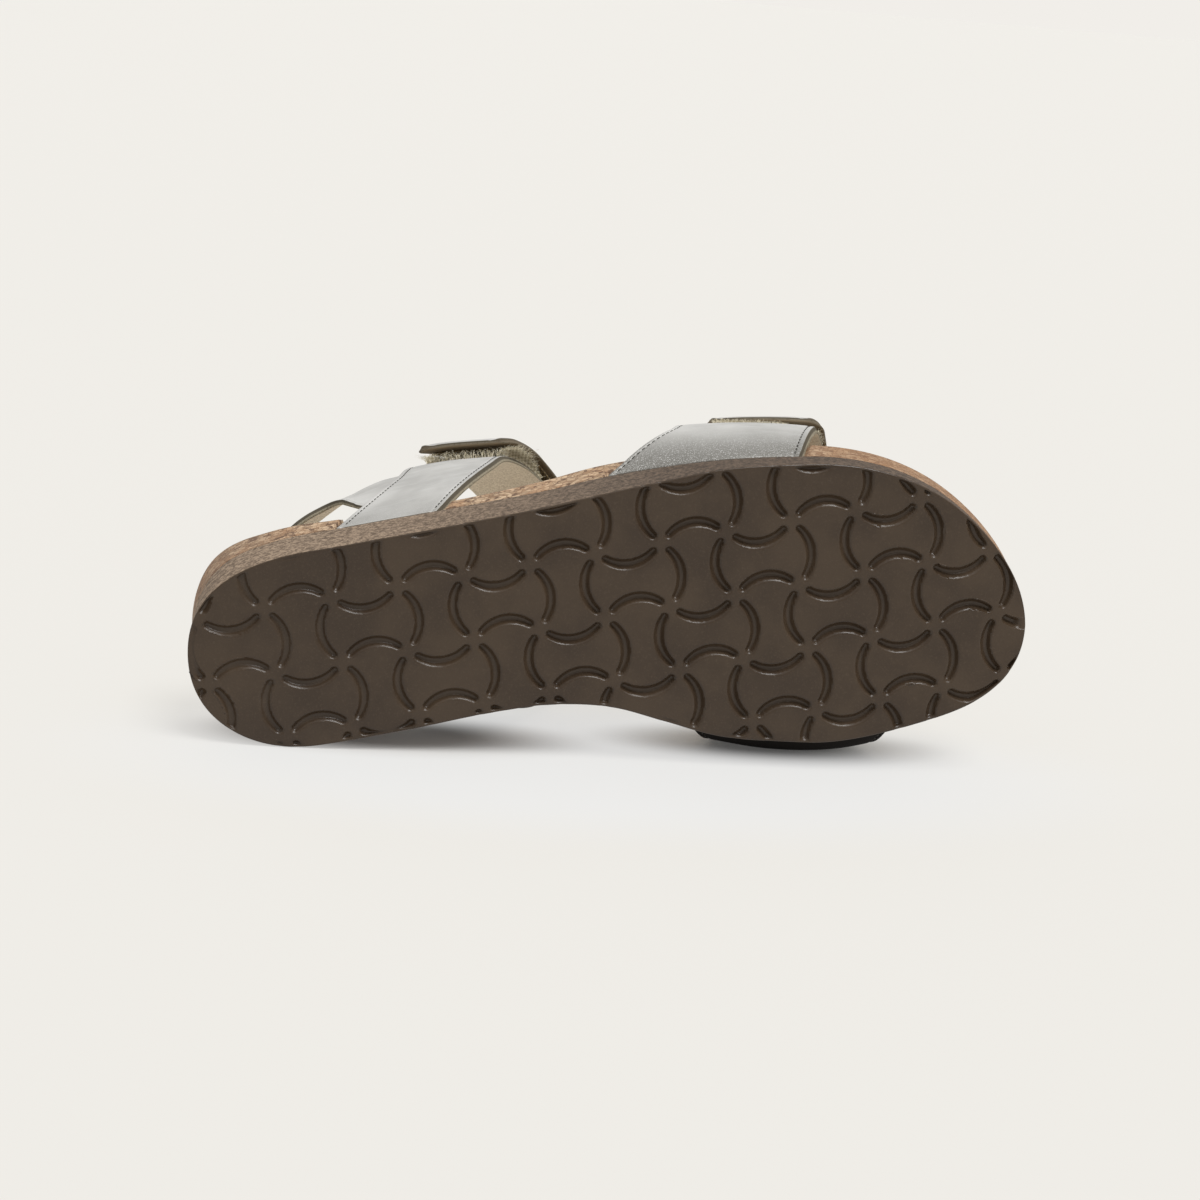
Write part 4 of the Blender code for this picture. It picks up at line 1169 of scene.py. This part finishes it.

# %% [markdown]
# ## Silver leather
# Drum-dyed grey hide with a thin metallic pearl on the grain side, which gives the satin highlight. Close to
# the sole it is painted darker, painted shade, with more pale specks of painted glint, and the legs of the
# medial pieces are painted near-black, painted shade. The lining is beige suede, and the cut edge shows both
# layers, painted olive grey. One material reads the layer from the attribute: 0 is the lining and 1 the grain
# side, and cut edges lie between.

# %% Finish of the straps
def leather_finish():
    """Silver grain side, lining and cut edge, chosen by the layer and edge attributes."""
    material, start, place, shader = new_finish("silver_leather")
    names = ("layer", "cut_edge", "dark", "foot", "bound")
    layer, edge, dark, foot, bound = (start.attribute(name) for name in names)
    speck, broad = place.noise(3000.0, 2.0, 0.7), place.noise(55.0, 3.0)
    brushed = place.node("Mapping", None,
                         {"Vector": place, "Rotation": (0.0, 0.6, 0.0), "Scale": (0.22, 1.0, 1.0)})
    streak = brushed.noise(240.0, 3.0, 0.6)
    silver = broad.clear(0.3, 0.7).blend(colour(182, 181, 178), colour(203, 202, 199))
    silver = (streak.clear(0.45, 0.75) * 0.5).blend(silver, colour(209, 209, 207))
    # Painted shade: the grain side goes darker towards the sole.
    silver = (foot * 0.95).blend(silver, colour(118, 116, 111))
    # Painted glints: pale specks on the grain side, more of them towards the sole.
    sparkle = speck.clear(0.52, 0.68) * (0.12 + 0.55 * foot)
    silver = sparkle.blend(silver, colour(226, 226, 224))
    # Painted shade: the leg of a medial piece is near-black on its grain side.
    silver = bound.blend(silver, colour(20, 16, 13))
    nap = place.noise(1600.0, 4.0, 0.7)
    lining = nap.clear(0.3, 0.7).blend(colour(204, 192, 172), colour(240, 230, 212))
    lining = dark.blend(lining, colour(120, 106, 86))
    cut = layer.clear(0.4, 0.55).blend(colour(146, 138, 120), colour(90, 84, 73))
    cut = (dark * 0.8).blend(cut, colour(100, 90, 76))
    cut = (nap.clear(0.45, 0.7) * 0.7).blend(cut, colour(74, 68, 56))
    # Painted shade: the cut edge of that leg is near-black too.
    cut = bound.blend(cut, colour(24, 20, 17))
    grain_side = layer.clear(0.86, 0.97)
    base = grain_side.blend(lining, silver)
    on_edge = edge.clear(0.4, 0.6) * (1 - layer.clear(0.9, 0.99)) * layer.clear(0.02, 0.1)
    base = on_edge.blend(base, cut)
    shiny = grain_side * (1 - on_edge)
    rough = 0.9 - shiny * (0.44 - 0.14 * speck) + bound * 0.2
    (shiny * 0.4 * (1 - bound)).feed(shader, "Metallic")
    relief = (speck + 0.6 * streak) * shiny + nap * (1 - shiny)
    shader.inputs["Specular IOR Level"].default_value = 0.1
    return surface(material, shader, base, rough, relief, 0.0001, 0.45)


finish([*straps, heel_strap], leather_finish())

# %% [markdown]
# ## Thread and tapes
# Thread and tape are woven, so two waves at right angles give the pattern and a noise frays it. The loop tape's
# ground is darker than its pile, because little light gets down between the fibres.

# %% Finishes of thread and tapes
def woven_finish(name, pale, deep, scale, depth):
    """Two waves crossed at right angles for the weave, with a noise that frays it."""
    material, start, place, shader = new_finish(name)
    fray = place.noise(1500.0, 4.0, 0.7)
    wave_one, wave_two = (
        start.node("TexWave", {"bands_direction": way},
                   {"Vector": place, "Scale": scale, "Distortion": 2.0}, "Fac") for way in "XZ")
    weave = wave_one * 0.5 + wave_two * 0.5
    base = (weave * 0.5 + fray * 0.5).clear(0.25, 0.75).blend(deep, pale)
    return surface(material, shader, base, 0.85 + 0.1 * fray, weave + fray, depth, 0.6)


loop_finish = woven_finish("loop_tape", colour(238, 230, 208), colour(196, 184, 154), 260.0, 0.0003)
hook_finish = woven_finish("hook_tape", colour(124, 106, 74), colour(70, 58, 40), 300.0, 0.0003)
thread_finish = woven_finish("strap_thread", colour(72, 69, 62), colour(40, 38, 34), 900.0, 0.0001)
ground_finish = woven_finish("loop_tape_ground", colour(150, 140, 114), colour(92, 84, 66), 260.0, 0.0003)
finish(loop_tapes, ground_finish)
finish(piles, loop_finish)
finish(hook_tapes, hook_finish)
finish([stitching], thread_finish)

# %% [markdown]
# ## Floor
# A level floor of pale paper that reaches the horizon. Part of its light is its own, as if it were lit from
# below, so that it stays even and shadows stay thin. Only where the sandal rests does it keep to the light
# that falls on it, and the contacts come out dark.

# %% Floor
FLOOR_REACH, FLOOR_GLOW = 60.0, 0.72
FLOOR_FAR, FLOOR_NEAR = (0.877, 0.855, 0.810, 1.0), (0.890, 0.890, 0.885, 1.0)
FLOOR_PAPER, FLOOR_MATT = (0.17, 0.167, 0.159, 1.0), (0.56, 0.55, 0.53, 1.0)
CONTACT_GLOW = (0.07, 0.07, 0.07, 1.0)
NEAR_ELLIPSE = {"Location": (0.0, 0.75, 0.0), "Scale": (5.2, 12.0, 1.0)}
FLOOR_CONTACTS = (((-0.068, -0.042), (0.072, 0.026)), ((0.056, -0.032), (0.066, 0.024)))


def level_floor():
    """One level square, wide enough to reach the horizon of a low camera."""
    mesh = bpy.data.meshes.new("floor")
    corners = np.array([(-1, -1, 0), (1, -1, 0), (1, 1, 0), (-1, 1, 0)]) * FLOOR_REACH
    mesh.from_pydata(corners.tolist(), [], [(0, 1, 2, 3)])
    floor = bpy.data.objects.new("floor", mesh)
    bpy.context.scene.collection.objects.link(floor)
    return floor


def floor_finish():
    """Backlit pale paper: part of its light is its own, which keeps shadows thin. It is cooler close by, and
    where the sandal rests it has little light of its own but a paler surface, so that contacts stay dark."""
    material, _, place, shader = new_finish("floor_paper")

    def within(vector, full):
        """1 up to a length of full, and 0 from a length of 1."""
        return 1 - place.node("VectorMath", {"operation": "LENGTH"}, {0: vector}, "Value").clear(full, 1.0)

    near = within(place.node("Mapping", None, {"Vector": place, **NEAR_ELLIPSE}), 0.45)
    glow = near.blend(FLOOR_FAR, FLOOR_NEAR)
    paper = FLOOR_PAPER
    for centre, reach in FLOOR_CONTACTS:
        toward = place.node("VectorMath", {"operation": "SUBTRACT"}, {0: place, 1: (*centre, 0.0)})
        spread = place.node("VectorMath", {"operation": "DIVIDE"}, {0: toward, 1: (*reach, 1.0)})
        spot = within(spread, 0.3)
        glow = spot.blend(glow, CONTACT_GLOW)
        paper = spot.blend(paper, FLOOR_MATT)
    glow.feed(shader, "Emission Color")
    paper.feed(shader, "Base Color")
    for name, value in (("Emission Strength", FLOOR_GLOW), ("Roughness", 0.9), ("Specular IOR Level", 0.1)):
        shader.inputs[name].default_value = value
    return material


floor = level_floor()
finish([floor], floor_finish())

# %% [markdown]
# ## Light
# An even pale sky, brighter overhead, lights all sides. In a thin band at the horizon it has the floor's own
# tone, so that the two run into each other. One wide soft light from above, a little from the front and the
# toe, shapes the slots of the tread.

# %% Light
SKY_LEVEL, SKY_OVERHEAD, SKY_BEHIND = 0.36, 0.5, 0.12
SKY_TONE, HORIZON_TONE = (1.0, 0.99, 0.97, 1.0), (0.880, 0.855, 0.815, 1.0)
SOFTBOX_TOWARD, SOFTBOX_ANGLE_DEG, SOFTBOX_STRENGTH = (0.30, -0.38, 1.0), 28.0, 2.1
scene = bpy.context.scene
scene.view_settings.view_transform = "Standard"


def studio_sky():
    """Even sky, brighter overhead than at the sides, with the floor's own tone in a thin band at the horizon."""
    world = bpy.data.worlds.new("studio")
    world.use_nodes = True
    start = Shade(world.node_tree)
    toward = start.node("TexCoord", output="Generated")
    behind, up = (start.node("SeparateXYZ", None, {0: toward}, name) for name in "YZ")
    strength = SKY_LEVEL + SKY_OVERHEAD * up.clear(0.1, 0.9) + SKY_BEHIND * behind.clear(0.0, 1.0)
    band = 1 - up.clear(0.05, 0.08)
    background = world.node_tree.nodes["Background"]
    band.blend(SKY_TONE, HORIZON_TONE).feed(background, "Color")
    (band + (1 - band) * strength).feed(background, "Strength")
    return world


def softbox():
    """Light from one direction everywhere alike, as wide as a large softbox looks from the shoe."""
    lamp = bpy.data.lights.new("softbox", "SUN")
    lamp.angle, lamp.energy = math.radians(SOFTBOX_ANGLE_DEG), SOFTBOX_STRENGTH
    light = bpy.data.objects.new("softbox", lamp)
    light.rotation_euler = Vector(SOFTBOX_TOWARD).to_track_quat("Z", "Y").to_euler()
    scene.collection.objects.link(light)


scene.world = studio_sky()
softbox()
print("view transform", scene.view_settings.view_transform)

# %% [markdown]
# ## Camera
# The camera stands where the photograph was taken from: low, in front of the tread, a little above the floor.
# Its place is given in the upright sandal's millimetres and laid down with it.

# %% Camera
SENSOR, FOCAL, CLIP = 36.0, 75.0, (0.02, 60.0)
CAMERA_PLACE = np.array([47.1, -181.4, -741.3])
CAMERA_RIGHT, CAMERA_FORWARD = np.array([0.9943, 0.0058, -0.1065]), np.array([0.1025, 0.2256, 0.9688])


def photo_camera():
    """Camera matrix: right, up and back as columns, made square to each other and laid down."""
    forward = unit(CAMERA_FORWARD)
    right = unit(CAMERA_RIGHT - forward * (CAMERA_RIGHT @ forward))
    axes = LYING_TURN @ np.column_stack([right, np.cross(right, forward), -forward])
    lens = bpy.data.cameras.new("photo_camera")
    lens.sensor_width, lens.lens = SENSOR, FOCAL
    lens.clip_start, lens.clip_end = CLIP
    camera = bpy.data.objects.new("photo_camera", lens)
    camera.matrix_world = Matrix([*np.column_stack([axes, laid(CAMERA_PLACE)]).tolist(), (0, 0, 0, 1)])
    scene.collection.objects.link(camera)
    scene.camera = camera
    return camera


camera = photo_camera()
print("camera stands", round(camera.matrix_world.translation.z, 3), "m above the floor")
